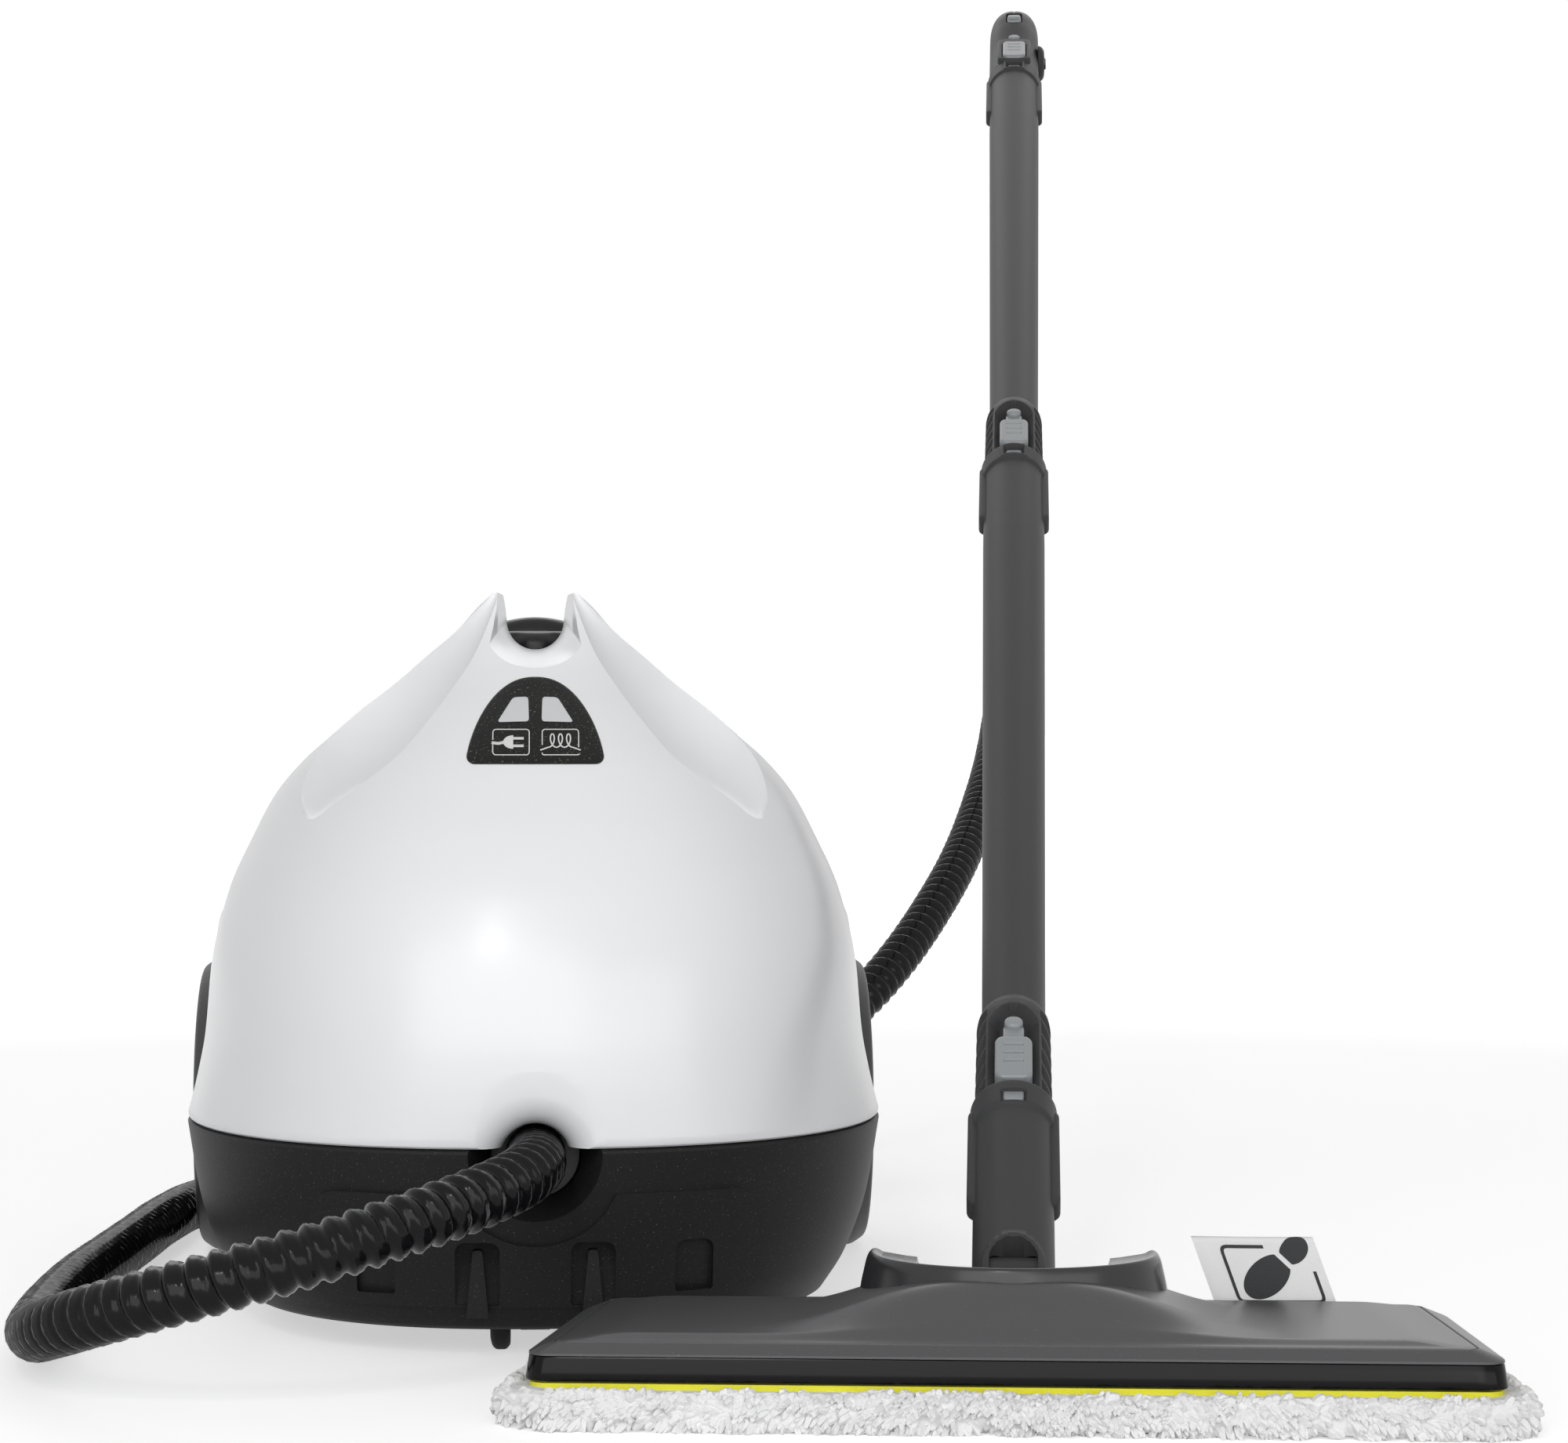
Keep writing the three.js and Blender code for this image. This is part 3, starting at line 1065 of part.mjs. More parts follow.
buildHousing();
buildFittings();
buildBoiler();
buildWheels();
buildCap();
buildTube(lowerTube, 'lower');
buildTube(upperTube, 'upper');
buildGun();
buildNeck();
buildHead();
buildHose();
centreOnFootprint();

export default machine;
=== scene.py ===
"""Canister steam cleaner with its hose, gun, two tubes and floor head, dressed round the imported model."""
import json

import bmesh
import bpy
import numpy as np
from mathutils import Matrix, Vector


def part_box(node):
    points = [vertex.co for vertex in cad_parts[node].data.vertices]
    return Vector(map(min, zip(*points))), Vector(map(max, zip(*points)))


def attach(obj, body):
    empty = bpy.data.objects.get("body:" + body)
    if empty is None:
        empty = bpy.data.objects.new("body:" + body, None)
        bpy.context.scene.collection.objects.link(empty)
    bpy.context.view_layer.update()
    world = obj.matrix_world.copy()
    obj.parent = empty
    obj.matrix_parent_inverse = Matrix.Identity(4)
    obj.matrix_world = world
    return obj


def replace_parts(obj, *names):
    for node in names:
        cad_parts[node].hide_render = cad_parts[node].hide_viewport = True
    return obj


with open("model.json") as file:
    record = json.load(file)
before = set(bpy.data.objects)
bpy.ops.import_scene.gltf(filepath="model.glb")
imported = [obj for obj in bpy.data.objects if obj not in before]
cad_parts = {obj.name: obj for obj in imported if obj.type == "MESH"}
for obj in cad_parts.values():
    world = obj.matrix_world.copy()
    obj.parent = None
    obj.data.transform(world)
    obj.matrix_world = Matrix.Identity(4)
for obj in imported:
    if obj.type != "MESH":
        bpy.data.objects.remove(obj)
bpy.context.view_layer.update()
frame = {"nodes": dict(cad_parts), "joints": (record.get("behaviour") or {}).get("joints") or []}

# ---------- the two frames that the pieces are measured in ----------
# The wheeled unit stands square to the row. The mop points a little to the right of it, and its
# tubes lean back, so its pieces are measured from the crossing of the floor head's two hinges.
wheel_rise, wheel_back = 0.060, 0.125
axle_low, axle_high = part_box("wheel_axle")
unit_place = np.array((axle_low + axle_high) / 2) - [0, wheel_back, wheel_rise]

joints = {joint["name"]: joint for joint in frame["joints"]}
pivot = np.array(joints["neck_tilt"]["pos_m"])
right = np.array(joints["neck_tilt"]["axis"])
ahead = np.array(joints["head_lean"]["axis"])
upstick = np.array(joints["child_lock_slide"]["axis"])
beneath = np.array(joints["latch_lower_press"]["axis"])
skyward = np.array([0.0, 0.0, 1.0])


def on_unit(points):
    """Places points given from the unit's middle, on the floor."""
    return unit_place + np.asarray(points, float)


def on_stick(points, height=0.0):
    """Places points given across, beneath and up the tubes, from a height up the stick."""
    local = np.asarray(points, float) + [0, 0, height]
    return pivot + local @ np.stack([right, beneath, upstick])


def on_head(points):
    """Places points given across, ahead and above the floor, from under the hinges."""
    return pivot * [1, 1, 0] + np.asarray(points, float) @ np.stack([right, ahead, skyward])


# ---------- camera ----------
# A long lens at the height of the unit's lamps looks level, with the mop's tubes going away from it.
camera = bpy.data.objects.new("camera", bpy.data.cameras.new("camera"))
bpy.context.scene.collection.objects.link(camera)
camera.data.lens = 90
camera.data.sensor_width = 36
camera.location = on_unit([0, -1.501, 0.217])
camera.rotation_euler = np.radians([90, 0, -3.63])
bpy.context.scene.camera = camera

# ---------- steam hose ----------
# A hose of black PVC wound from a two-lobed ribbon, so its ribs run round it as a double screw thread.
# It carries the steam tube and the switch wires, and is pushed into the outlet and into the gun's butt.
hose_radius, hose_rib_depth, hose_rib_pitch = 0.0105, 0.0025, 0.0074
hose_step, hose_sides = 0.0008, 20
neck_length, tube_pitch = 0.0966, 0.508
gun_foot = neck_length + 2 * tube_pitch
grip_turn, grip_start, grip_length = np.radians(74.33), 0.085, 0.130
outlet_height = 0.070


def on_grip(along, across=0.0, sideways=0.0):
    """Point of the gun's frame at a distance down the grip's middle line and a distance off it."""
    forward = np.array([0, np.sin(grip_turn), np.cos(grip_turn)])
    outward = np.array([0, -np.cos(grip_turn), np.sin(grip_turn)])
    return np.array([sideways, 0, grip_start]) + along * forward + across * outward


def travelled(path):
    """Distance gone along a path at each of its points."""
    return np.concatenate([[0], np.cumsum(np.linalg.norm(np.diff(path, axis=0), axis=1))])


def direction(vectors):
    """Vectors over their own lengths."""
    return vectors / np.linalg.norm(vectors, axis=-1, keepdims=True)


def full_turn(count):
    """Angles in even steps round a full turn."""
    return np.linspace(0, 2 * np.pi, count, endpoint=False)


def smooth_line(points, spacing):
    """Centripetal Catmull-Rom curve through the points, cut into stations of equal length."""
    p = np.vstack([2 * points[0] - points[1], points, 2 * points[-1] - points[-2]])
    knots = np.concatenate([[0], np.cumsum(np.sqrt(np.linalg.norm(np.diff(p, axis=0), axis=1)))])
    t = np.interp(np.linspace(1, len(p) - 2, 60 * len(p)), np.arange(len(p)), knots)
    i = np.clip(np.searchsorted(knots, t, side="right") - 1, 1, len(p) - 3)

    def between(a, b, start, end):
        share = ((t - knots[start]) / (knots[end] - knots[start]))[:, None]
        return a * (1 - share) + b * share

    before = between(p[i - 1], p[i], i - 1, i)
    middle = between(p[i], p[i + 1], i, i + 1)
    after = between(p[i + 1], p[i + 2], i + 1, i + 2)
    line = between(between(before, middle, i - 1, i + 1), between(middle, after, i, i + 2), i, i + 1)
    length = travelled(line)
    stations = np.linspace(0, length[-1], round(length[-1] / spacing) + 1)
    return np.stack([np.interp(stations, length, column) for column in line.T], axis=1)


def quads(rows, columns):
    """Faces of a grid of points that is numbered row by row and closed round each row."""
    row, column = np.meshgrid(np.arange(rows - 1) * columns, np.arange(columns), indexing="ij")
    beside = (column + 1) % columns
    corners = [row + column, row + beside, row + columns + beside, row + columns + column]
    return np.stack(corners, axis=-1).reshape(-1, 4).tolist()


def skin(grid):
    """Points and faces of a closed skin through a grid's rows, with a fan of triangles on each end."""
    rows, columns = grid.shape[:2]
    points = np.vstack([grid.reshape(-1, 3), grid[0].mean(axis=0), grid[-1].mean(axis=0)])
    here = np.arange(columns)
    beside = np.roll(here, -1)
    last = (rows - 1) * columns
    first_fan = np.stack([beside, here, np.full(columns, rows * columns)], axis=1)
    last_fan = np.stack([last + here, last + beside, np.full(columns, rows * columns + 1)], axis=1)
    return points, quads(rows, columns) + first_fan.tolist() + last_fan.tolist()


def solid(name, points, faces):
    """A closed object of those points and faces, facing outwards, with its place in its mesh."""
    mesh = bpy.data.meshes.new(name)
    mesh.from_pydata(np.asarray(points).reshape(-1, 3).tolist(), [], faces)
    work = bmesh.new()
    work.from_mesh(mesh)
    bmesh.ops.remove_doubles(work, verts=work.verts, dist=1e-7)
    bmesh.ops.recalc_face_normals(work, faces=work.faces)
    if work.calc_volume(signed=True) < 0:
        bmesh.ops.reverse_faces(work, faces=work.faces)
    work.to_mesh(mesh)
    work.free()
    made = bpy.data.objects.new(name, mesh)
    bpy.context.scene.collection.objects.link(made)
    return made


def settle(made, body, material, replaced=(), crease=40):
    """Gives a piece its finish, smooth up to a crease in degrees, and lets it ride on a body."""
    made.data.shade_smooth()
    made.data.set_sharp_from_angle(angle=np.radians(crease))
    made.data.materials.clear()
    made.data.materials.append(material)
    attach(made, body)
    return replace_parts(made, *replaced)


def shader_of(name, colour, roughness, **sockets):
    """A new material with its nodes, links and shader, whose plain values are set on the shader."""
    made = bpy.data.materials.new(name)
    made.use_nodes = True
    tree = made.node_tree
    shader = tree.nodes["Principled BSDF"]
    shader.inputs["Base Color"].default_value = (*colour, 1)
    shader.inputs["Roughness"].default_value = roughness
    for socket, value in sockets.items():
        shader.inputs[socket.replace("_", " ")].default_value = value
    return made, tree, shader


def add(tree, kind, **inputs):
    """Adds a node of that kind and sets its named inputs, from numbers or from other nodes' outputs."""
    node = tree.nodes.new(kind)
    for name, value in inputs.items():
        socket = node.inputs[name.replace("_", " ")]
        if isinstance(value, bpy.types.NodeSocket):
            tree.links.new(value, socket)
        else:
            socket.default_value = value
    return node


def blended(tree, shader, share, colour, other):
    """Colours the shader between two colours by a node's share."""
    blend = add(tree, "ShaderNodeMixRGB", Fac=share, Color1=(*colour, 1), Color2=(*other, 1))
    tree.links.new(blend.outputs["Color"], shader.inputs["Base Color"])


def lifted(tree, shader, height, depth, strength):
    """Lifts the shader's surface by a depth where a node's height is 1."""
    bump = add(tree, "ShaderNodeBump", Height=height, Distance=depth, Strength=strength)
    tree.links.new(bump.outputs["Normal"], shader.inputs["Normal"])


def moulded(name, colour, tint, roughness, mottle, grain, depth, **sockets):
    """Moulded plastic: its colour drifts to a tint, its roughness is mottled, and a fine grain
    lifts the surface by a depth. Grain is the size of one grain, in metres."""
    made, tree, shader = shader_of(name, colour, roughness, **sockets)
    place = add(tree, "ShaderNodeTexCoord").outputs["Object"]
    drift = add(tree, "ShaderNodeTexNoise", Vector=place, Scale=18.0, Detail=3.0)
    blended(tree, shader, drift.outputs["Fac"], colour, tint)
    fine = add(tree, "ShaderNodeTexNoise", Vector=place, Scale=1 / grain, Detail=2.0).outputs["Fac"]
    span = add(tree, "ShaderNodeMapRange", Value=fine, To_Min=roughness - mottle, To_Max=roughness + mottle)
    tree.links.new(span.outputs["Result"], shader.inputs["Roughness"])
    lifted(tree, shader, fine, depth, 1.0)
    return made


hose_route = np.array([
    [-0.6, -200, 70], [-5.8, -221.5, 68.4], [-18.9, -243.7, 65], [-40.2, -261.7, 59.4], [-66.5, -271.3, 52.1],
    [-94.5, -271.3, 44.2], [-120.7, -261.7, 36.2], [-142.2, -243.7, 28.3], [-156.1, -219.5, 21.5],
    [-164, -190, 16], [-168.5, -150, 12], [-170, -105, 10.9], [-168, -40, 10.9], [-163, 20, 10.9],
    [-158, 80, 10.9], [-153, 140, 10.9], [-143, 196, 10.9], [-115, 246, 10.9], [-70, 280, 10.9],
    [-16, 302, 11.5], [42, 322, 19], [100, 352, 43], [160, 402, 84], [207, 485, 132], [240, 590, 180],
    [263, 700, 230], [281, 805, 287], [290.5, 869.5, 333.5], [295.6, 912, 374.5], [298.4, 935, 407],
    [298.8, 942.3, 440], [297.5, 934.9, 473.1],
]) / 1000
unit_set_back = [0, 0.006, 0]
outlet_end = [[0, -0.1493, outlet_height], [0, -0.175, outlet_height]]
butt_end = [on_stick(on_grip(grip_length + along), gun_foot) for along in (0.040, 0.022, 0.0063)]
hose_points = np.vstack([on_unit(outlet_end), on_unit(hose_route - unit_set_back), butt_end])
hose_line = smooth_line(hose_points, hose_step)


def hose_surface(line, sides):
    """Radius minus a rib depth times a two-lobed wave of the screw's phase, which is the way along the
    line over the pitch, plus the turn round it. The rings are squared to the sky, and from lift_start
    behind the outlet more and more to the right, because the hose climbs there."""
    lift_start = lift_span = 0.30
    forward = direction(np.gradient(line, axis=0))
    rise = np.clip((line[:, 1] - line[0, 1] - lift_start) / lift_span, 0, 1)[:, None]
    side = direction(np.cross(forward, (1 - rise) * skyward + rise * [1, 0, 0]))
    over = np.cross(side, forward)
    turn = full_turn(sides)[None, :, None]
    phase = 2 * np.pi * travelled(line)[:, None, None] / hose_rib_pitch + turn
    wave = 0.72 * np.abs(np.sin(phase / 2)) ** 1.6 + 0.28 * np.abs(np.sin(phase + 0.6))
    radius = hose_radius - hose_rib_depth * (1 - np.clip(wave, 0, 1))
    return line[:, None] + radius * (np.cos(turn) * side[:, None] + np.sin(turn) * over[:, None])


gloss_black = moulded("gloss_black_pvc", (0.004, 0.004, 0.005), (0.006, 0.006, 0.007), roughness=0.15,
                      mottle=0.04, grain=0.002, depth=0.00001, Specular_IOR_Level=0.16)
hose = solid("hose_coil", *skin(hose_surface(hose_line, hose_sides)))
settle(hose, "unit", gloss_black, ["hose_tube"], crease=60)

# ---------- bonnet ----------
# The cover over the boiler is one moulding of glossy white ABS with two crests, a long scoop beside each,
# a pouring throat between them and a fender over each wheel. It clips onto the base along a fine seam.
seam_height, crest_height = 0.074, 0.263
body_half_width, body_half_length = 0.127, 0.190
widest_at, crest_at = -0.044, -0.095
bonnet_table = np.array([  # rise, half width, front, rear, move of the widest place to the crests
    [0, 1, 1, 1, 0], [0.03, 0.988, 1, 0.998, 0], [0.08, 0.97, 1, 0.994, 0], [0.16, 0.948, 0.998, 0.986, 0],
    [0.296, 0.93, 0.976, 0.947, 0], [0.429, 0.884, 0.932, 0.868, 0], [0.54, 0.811, 0.874, 0.768, 0],
    [0.619, 0.748, 0.818, 0.684, 0], [0.683, 0.667, 0.768, 0.589, 0.1], [0.741, 0.567, 0.716, 0.484, 0.22],
    [0.783, 0.492, 0.674, 0.379, 0.36], [0.825, 0.409, 0.629, 0.237, 0.5],
    [0.878, 0.315, 0.579, -0.237, 0.66], [0.931, 0.22, 0.542, -0.3, 0.8], [0.974, 0.162, 0.521, -0.33, 0.92],
    [1, 0.118, 0.511, -0.35, 1],
])
front_squareness, rear_squareness = 2.25, 2.6


def eased(x, xs, ys):
    """Value of a table at x, on cubic pieces whose slope at an entry is the harmonic mean of the two
    chords beside it, so that nothing overshoots."""
    span = np.diff(xs)
    chord = np.diff(ys) / span
    product = chord[:-1] * chord[1:]
    total = np.where(product > 0, chord[:-1] + chord[1:], 1)
    slope = np.concatenate([chord[:1], np.where(product > 0, 2 * product / total, 0), chord[-1:]])
    i = np.clip(np.searchsorted(xs, x, side="right") - 1, 0, len(xs) - 2)
    t = (x - xs[i]) / span[i]
    start = (2 * t**3 - 3 * t**2 + 1) * ys[i] + (t**3 - 2 * t**2 + t) * span[i] * slope[i]
    return start + (3 * t**2 - 2 * t**3) * ys[i + 1] + (t**3 - t**2) * span[i] * slope[i + 1]


def bonnet_reach(height):
    """Half width, front, rear and widest place of the bonnet at a height, from its table."""
    rise = (np.asarray(height) - seam_height) / (crest_height - seam_height)
    half, front, rear, shift = (eased(rise, bonnet_table[:, 0], bonnet_table[:, k]) for k in range(1, 5))
    widest = widest_at + shift * (crest_at - widest_at)
    return half * body_half_width, -front * body_half_length, rear * body_half_length, widest


def squarer(wave, power):
    """A sine or cosine raised to a power, with its sign kept, as in a superellipse."""
    return np.sign(wave) * np.abs(wave) ** power


def plan_ring(half, front, rear, widest, height, offset=0.0):
    """Rows of an egg-shaped plan: a superellipse ahead of the widest place and a squarer one behind it."""
    half, front, rear, widest, height = (np.reshape(v, (-1, 1)) for v in (half, front, rear, widest, height))
    turn = full_turn(160)[None, :]
    ahead_of = np.sin(turn) < 0
    power = np.where(ahead_of, 2 / front_squareness, 2 / rear_squareness)
    x = (half + offset) * squarer(np.cos(turn), power)
    reach = np.where(ahead_of, widest - front, rear - widest) + offset
    y = widest + reach * squarer(np.sin(turn), power)
    return np.stack([x, y, height + 0 * x], axis=-1)


def bonnet_front(x, height, proud=0.0):
    """Points of the bonnet's front face at places across and heights, stood proud towards the viewer."""
    half, front, _, widest = bonnet_reach(height)
    share = np.clip(np.abs(x) / half, 0, 1)
    y = widest - (widest - front) * (1 - share**front_squareness) ** (1 / front_squareness)
    return np.stack([x, y - proud, height + 0 * x], axis=-1)


scoop_marks = np.array([  # crease x, crease z, ridge x, ridge z, down the flank
    [13, 262.8, 14.2, 263.2], [17.2, 251, 22, 255.5], [22, 240, 30.5, 248.3], [29, 229, 40, 240],
    [37, 218, 50.5, 231], [47, 206, 62.5, 222], [56, 198.5, 72, 213], [65, 192, 78, 205],
    [71, 187.6, 81.2, 197], [74.2, 184.8, 82.6, 191], [77.4, 183.0, 82.2, 186.6], [79.6, 182.8, 81.1, 184.0],
]) / 1000


def scoop_tool(side):
    """A round gouge carried down the flank between the crest's crease and the outer ridge: each section
    is an arc that passes through both and bulges into the body. The ridge is evened by a quartic."""
    crease_x, crease_z, ridge_x, ridge_z = smooth_line(scoop_marks, 0.0009).T
    crease, ridge = bonnet_front(crease_x, crease_z), bonnet_front(ridge_x, ridge_z)
    down = np.linspace(-1, 1, len(ridge))
    ridge[:, 1] = np.polyval(np.polyfit(down, ridge[:, 1], 4), down)
    middle = (crease + ridge) / 2
    chord = ridge - crease
    half = np.linalg.norm(chord, axis=1)[:, None] / 2
    inward = direction(np.cross(np.gradient(middle, axis=0), chord))
    inward *= -np.sign(inward[:, 1:2])
    centre = (middle + half * inward)[:, None]
    u = (chord / (2 * half))[:, None]
    out = inward[:, None]
    turn = np.radians(np.linspace(-145, -35, 33))[None, :, None]
    radius = (half * np.sqrt(2))[:, None]
    arc = centre + radius * (np.cos(turn) * u + np.sin(turn) * out)
    far = np.concatenate([centre + radius * (u + out), centre + radius * (out - u)], axis=1)
    ring = np.concatenate([arc, far], axis=1) * [side, 1, 1]
    return solid("scoop_tool", *skin(on_unit(ring)))


def turned(profile, sides, start, end):
    """A profile of (distance along, radius) pairs turned about the line from start towards end."""
    along = direction(np.asarray(end, float) - start)
    u = direction(np.cross(along, [0.3, 0.2, 1] if abs(along[2]) < 0.9 else [1, 0.2, 0]))
    v = np.cross(along, u)
    turn = full_turn(sides)[None, :, None]
    way, radius = np.asarray(profile, float).T[:, :, None, None]
    return np.asarray(start) + way * along + radius * (np.cos(turn) * u + np.sin(turn) * v)


def rod_tool(start, end, radius, end_radius=None, sides=96):
    """A round cutter, straight or tapered, between two points of the unit."""
    length = np.linalg.norm(np.subtract(end, start))
    profile = [(0, radius), (length, end_radius or radius)]
    return solid("rod_tool", *skin(on_unit(turned(profile, sides, start, end))))


def bore(start, end, radius, end_radius=None, height=outlet_height):
    """A round cutter that runs straight back through the unit, from one place to another."""
    return rod_tool([0, start, height], [0, end, height], radius, end_radius)


def carve(made, operation, *tools):
    """Takes the tools away from a piece, or joins them to it, and removes them."""
    for tool in tools:
        step = made.modifiers.new("carve", "BOOLEAN")
        step.operation = operation
        step.solver = "MANIFOLD"
        step.object = tool
    ready = made.evaluated_get(bpy.context.evaluated_depsgraph_get())
    made.data = bpy.data.meshes.new_from_object(ready)
    made.modifiers.clear()
    for tool in tools:
        bpy.data.meshes.remove(tool.data)
    return made


def at_height(plan, height):
    """A plan's points, at a height."""
    return np.column_stack([plan, np.full(len(plan), height)])


def upright(outline, depth):
    """An upright outline's places across and heights, at a place from front to back."""
    return np.column_stack([outline[:, 0], np.full(len(outline), depth), outline[:, 1]])


def box_tool(low, high):
    """A cutter with square corners between two corners of the unit."""
    (x0, y0, z0), (x1, y1, z1) = low, high
    ring = np.array([[x0, y0], [x1, y0], [x1, y1], [x0, y1]])
    return solid("box_tool", *skin(on_unit([at_height(ring, z) for z in (z0, z1)])))


def throat_tool():
    """The pouring throat: a wide mouth with a shallow round floor, a parabola, at the front, which narrows
    and rises to a half-round channel at the cap. Both are open above the crests."""
    mouth_half, mouth_height, mouth_sag = 0.0181, 0.2417, 0.0056
    channel_half, channel_height, channel_sag = 0.0104, 0.2540, 0.0106
    mouth_at, channel_at, above = -0.112, -0.062, 0.290
    turn = np.linspace(-1, 1, 41)
    lip = np.column_stack([mouth_half * turn, mouth_height - mouth_sag * (1 - turn**2)])
    lip = np.vstack([[[-0.0090, above]], lip, [[0.0090, above]]])
    turn = turn * np.pi / 2
    channel = np.column_stack([channel_half * np.sin(turn), channel_height - channel_sag * np.cos(turn)])
    channel = np.vstack([[[-0.0136, above]], channel, [[0.0136, above]]])
    rings = []
    for y in np.linspace(-0.135, -0.050, 30):
        share = (y - mouth_at) / (channel_at - mouth_at)
        share = max(share, -0.1) if share < 0 else 1 - (1 - min(share, 1)) ** 1.5
        rings.append(upright(lip * (1 - share) + channel * share, y))
    return solid("throat_tool", *skin(on_unit(rings)))


wheel_radius, arch_air, fender_radius = 0.060, 0.004, 0.085
fender_inner, arch_inner, beyond = 0.0975, 0.106, 0.2
well_radius, well_floor, boiler_at, neck_hole = 0.037, 0.212, -0.025, 0.021
outlet_bore, outlet_mouth = 0.0118, 0.0230


def axle_point(side, across):
    """A point of the rear axle's line, at a distance across on one side."""
    return [side * across, wheel_back, wheel_rise]


def fender(side):
    """A disc over a wheel, whose face rounds over to the wheel arch."""
    face = [(0, 0.078), (0.0255, fender_radius), (0.0285, 0.0835), (0.0305, 0.0800), (0.0310, 0.070)]
    disc = turned(face, 128, axle_point(side, fender_inner), axle_point(side, beyond))
    return solid("fender", *skin(on_unit(disc)))


def wheel_arches():
    """Round cutters that leave air round both wheels."""
    radius = wheel_radius + arch_air
    return [rod_tool(axle_point(side, arch_inner), axle_point(side, beyond), radius, sides=128)
            for side in (-1, 1)]


def outlet_dish():
    """A trumpet mouth for the hose: a quarter round from the bore out to the mouth, and straight on."""
    bend = np.linspace(0, np.pi / 2, 14)
    depth, flare = 0.0105, outlet_mouth - outlet_bore
    mouth = np.column_stack([depth * np.sin(bend), outlet_mouth - flare * np.cos(bend)])
    dish = np.vstack([[[-0.002, outlet_bore]], mouth, [[0.012, 0.036], [0.030, 0.060]]])
    dish = turned(dish, 96, [0, -0.1785, outlet_height], [0, -0.3, outlet_height])
    return solid("dish", *skin(on_unit(dish)))


edge_rise = np.array([0, 0.0006, 0.0015])
heights = np.concatenate([seam_height + edge_rise, np.linspace(0.0775, crest_height, 100)])
edge_draw = np.interp(heights - seam_height, edge_rise, [-0.0012, -0.0004, 0])[:, None]
bonnet = solid("bonnet_cover", *skin(on_unit(plan_ring(*bonnet_reach(heights), heights, offset=edge_draw))))
carve(bonnet, "UNION", fender(-1), fender(1))
carve(
    bonnet, "DIFFERENCE", scoop_tool(1), scoop_tool(-1), *wheel_arches(),
    box_tool([-0.2, -0.3, -0.05], [0.2, 0.3, seam_height]),
    rod_tool([0, boiler_at, well_floor], [0, boiler_at, 0.29], well_radius),
    rod_tool([0, boiler_at, 0.10], [0, boiler_at, well_floor + 0.01], neck_hole),
    throat_tool(), outlet_dish(), bore(-0.190, -0.140, outlet_bore),
)
gloss_white = moulded("gloss_white_abs", (0.86, 0.865, 0.88), (0.84, 0.845, 0.865), roughness=0.30,
                      mottle=0.03, grain=0.004, depth=0.000004, Coat_Weight=0.25, Coat_Roughness=0.22)
settle(bonnet, "unit", gloss_white, ["bonnet"], crease=28)

# ---------- base ----------
# The tray that carries everything: black polypropylene with a spark-eroded face and light flecks in it. Its
# front has a raised panel with arched slots, and a hood of it guards the hose below its outlet.
base_table = np.array([  # height, half width, front and rear as shares of half the body
    [0.010, 0.83, 0.868, 0.93], [0.024, 0.9, 0.915, 0.955], [0.046, 0.962, 0.962, 0.98], [0.0737, 1, 1, 1],
])
castor_back, castor_well = -0.131, 0.0295
panel_out, slot_floor, slot_foot_corner = 0.0016, 0.0075, 0.0008


def base_skin(heights, offset):
    """Egg-shaped plans of the base at heights, from its table, grown by an offset."""
    half, front, rear = (eased(heights, base_table[:, 0], base_table[:, k]) for k in (1, 2, 3))
    reach = (half * body_half_width, -front * body_half_length, rear * body_half_length)
    return skin(on_unit(plan_ring(*reach, widest_at, heights, offset=offset)))


def rounded_box(width, height, corner, centre=(0, 0), steps=8, low_corner=None):
    """Closed outline of a rectangle whose corners are quarter circles, smaller at its foot if asked."""
    low_corner = corner if low_corner is None else low_corner
    quarter = np.radians(np.linspace(0, 90, steps))
    corners = ((-90, 1, -1, low_corner), (0, 1, 1, corner), (90, -1, 1, corner), (180, -1, -1, low_corner))
    outline = []
    for start, sx, sy, bend in corners:
        turn = quarter + np.radians(start)
        middle = [sx * (width / 2 - bend), sy * (height / 2 - bend)]
        outline.append(middle + bend * np.column_stack([np.cos(turn), np.sin(turn)]))
    return np.vstack(outline) + centre


def front_prism(outline, start, end):
    """An outline of places across and heights, carried straight back from one place to another."""
    return solid("front_prism", *skin(on_unit([upright(outline, depth) for depth in (start, end)])))


base_heights = np.concatenate([[0.0100, 0.0104, 0.0115], np.linspace(0.014, 0.0722, 40), [0.0731, 0.0737]])
rim_inset = np.interp(base_heights, [0.0100, 0.0115, 0.0722, 0.0731, 0.0737],
                      [-0.0015, 0, 0, -0.0006, -0.0018])
base = solid("base_tray", *base_skin(base_heights, rim_inset[:, None]))
face_heights = np.linspace(0.012, 0.0725, 40)
raised = solid("raised_panel", *base_skin(face_heights, panel_out))
carve(raised, "INTERSECT", front_prism(rounded_box(0.154, 0.040, 0.010, (0, 0.0385)), -0.25, -0.1))
carve(raised, "DIFFERENCE", bore(-0.25, -0.1, 0.0295))
carve(base, "UNION", raised)


def base_front(x, height):
    """How far ahead the base's front face lies at a place across and a height."""
    half, front = (eased(np.asarray([height]), base_table[:, 0], base_table[:, k])[0] for k in (1, 2))
    share = (1 - (abs(x) / (half * body_half_width)) ** front_squareness) ** (1 / front_squareness)
    return widest_at - (front * body_half_length + widest_at) * share


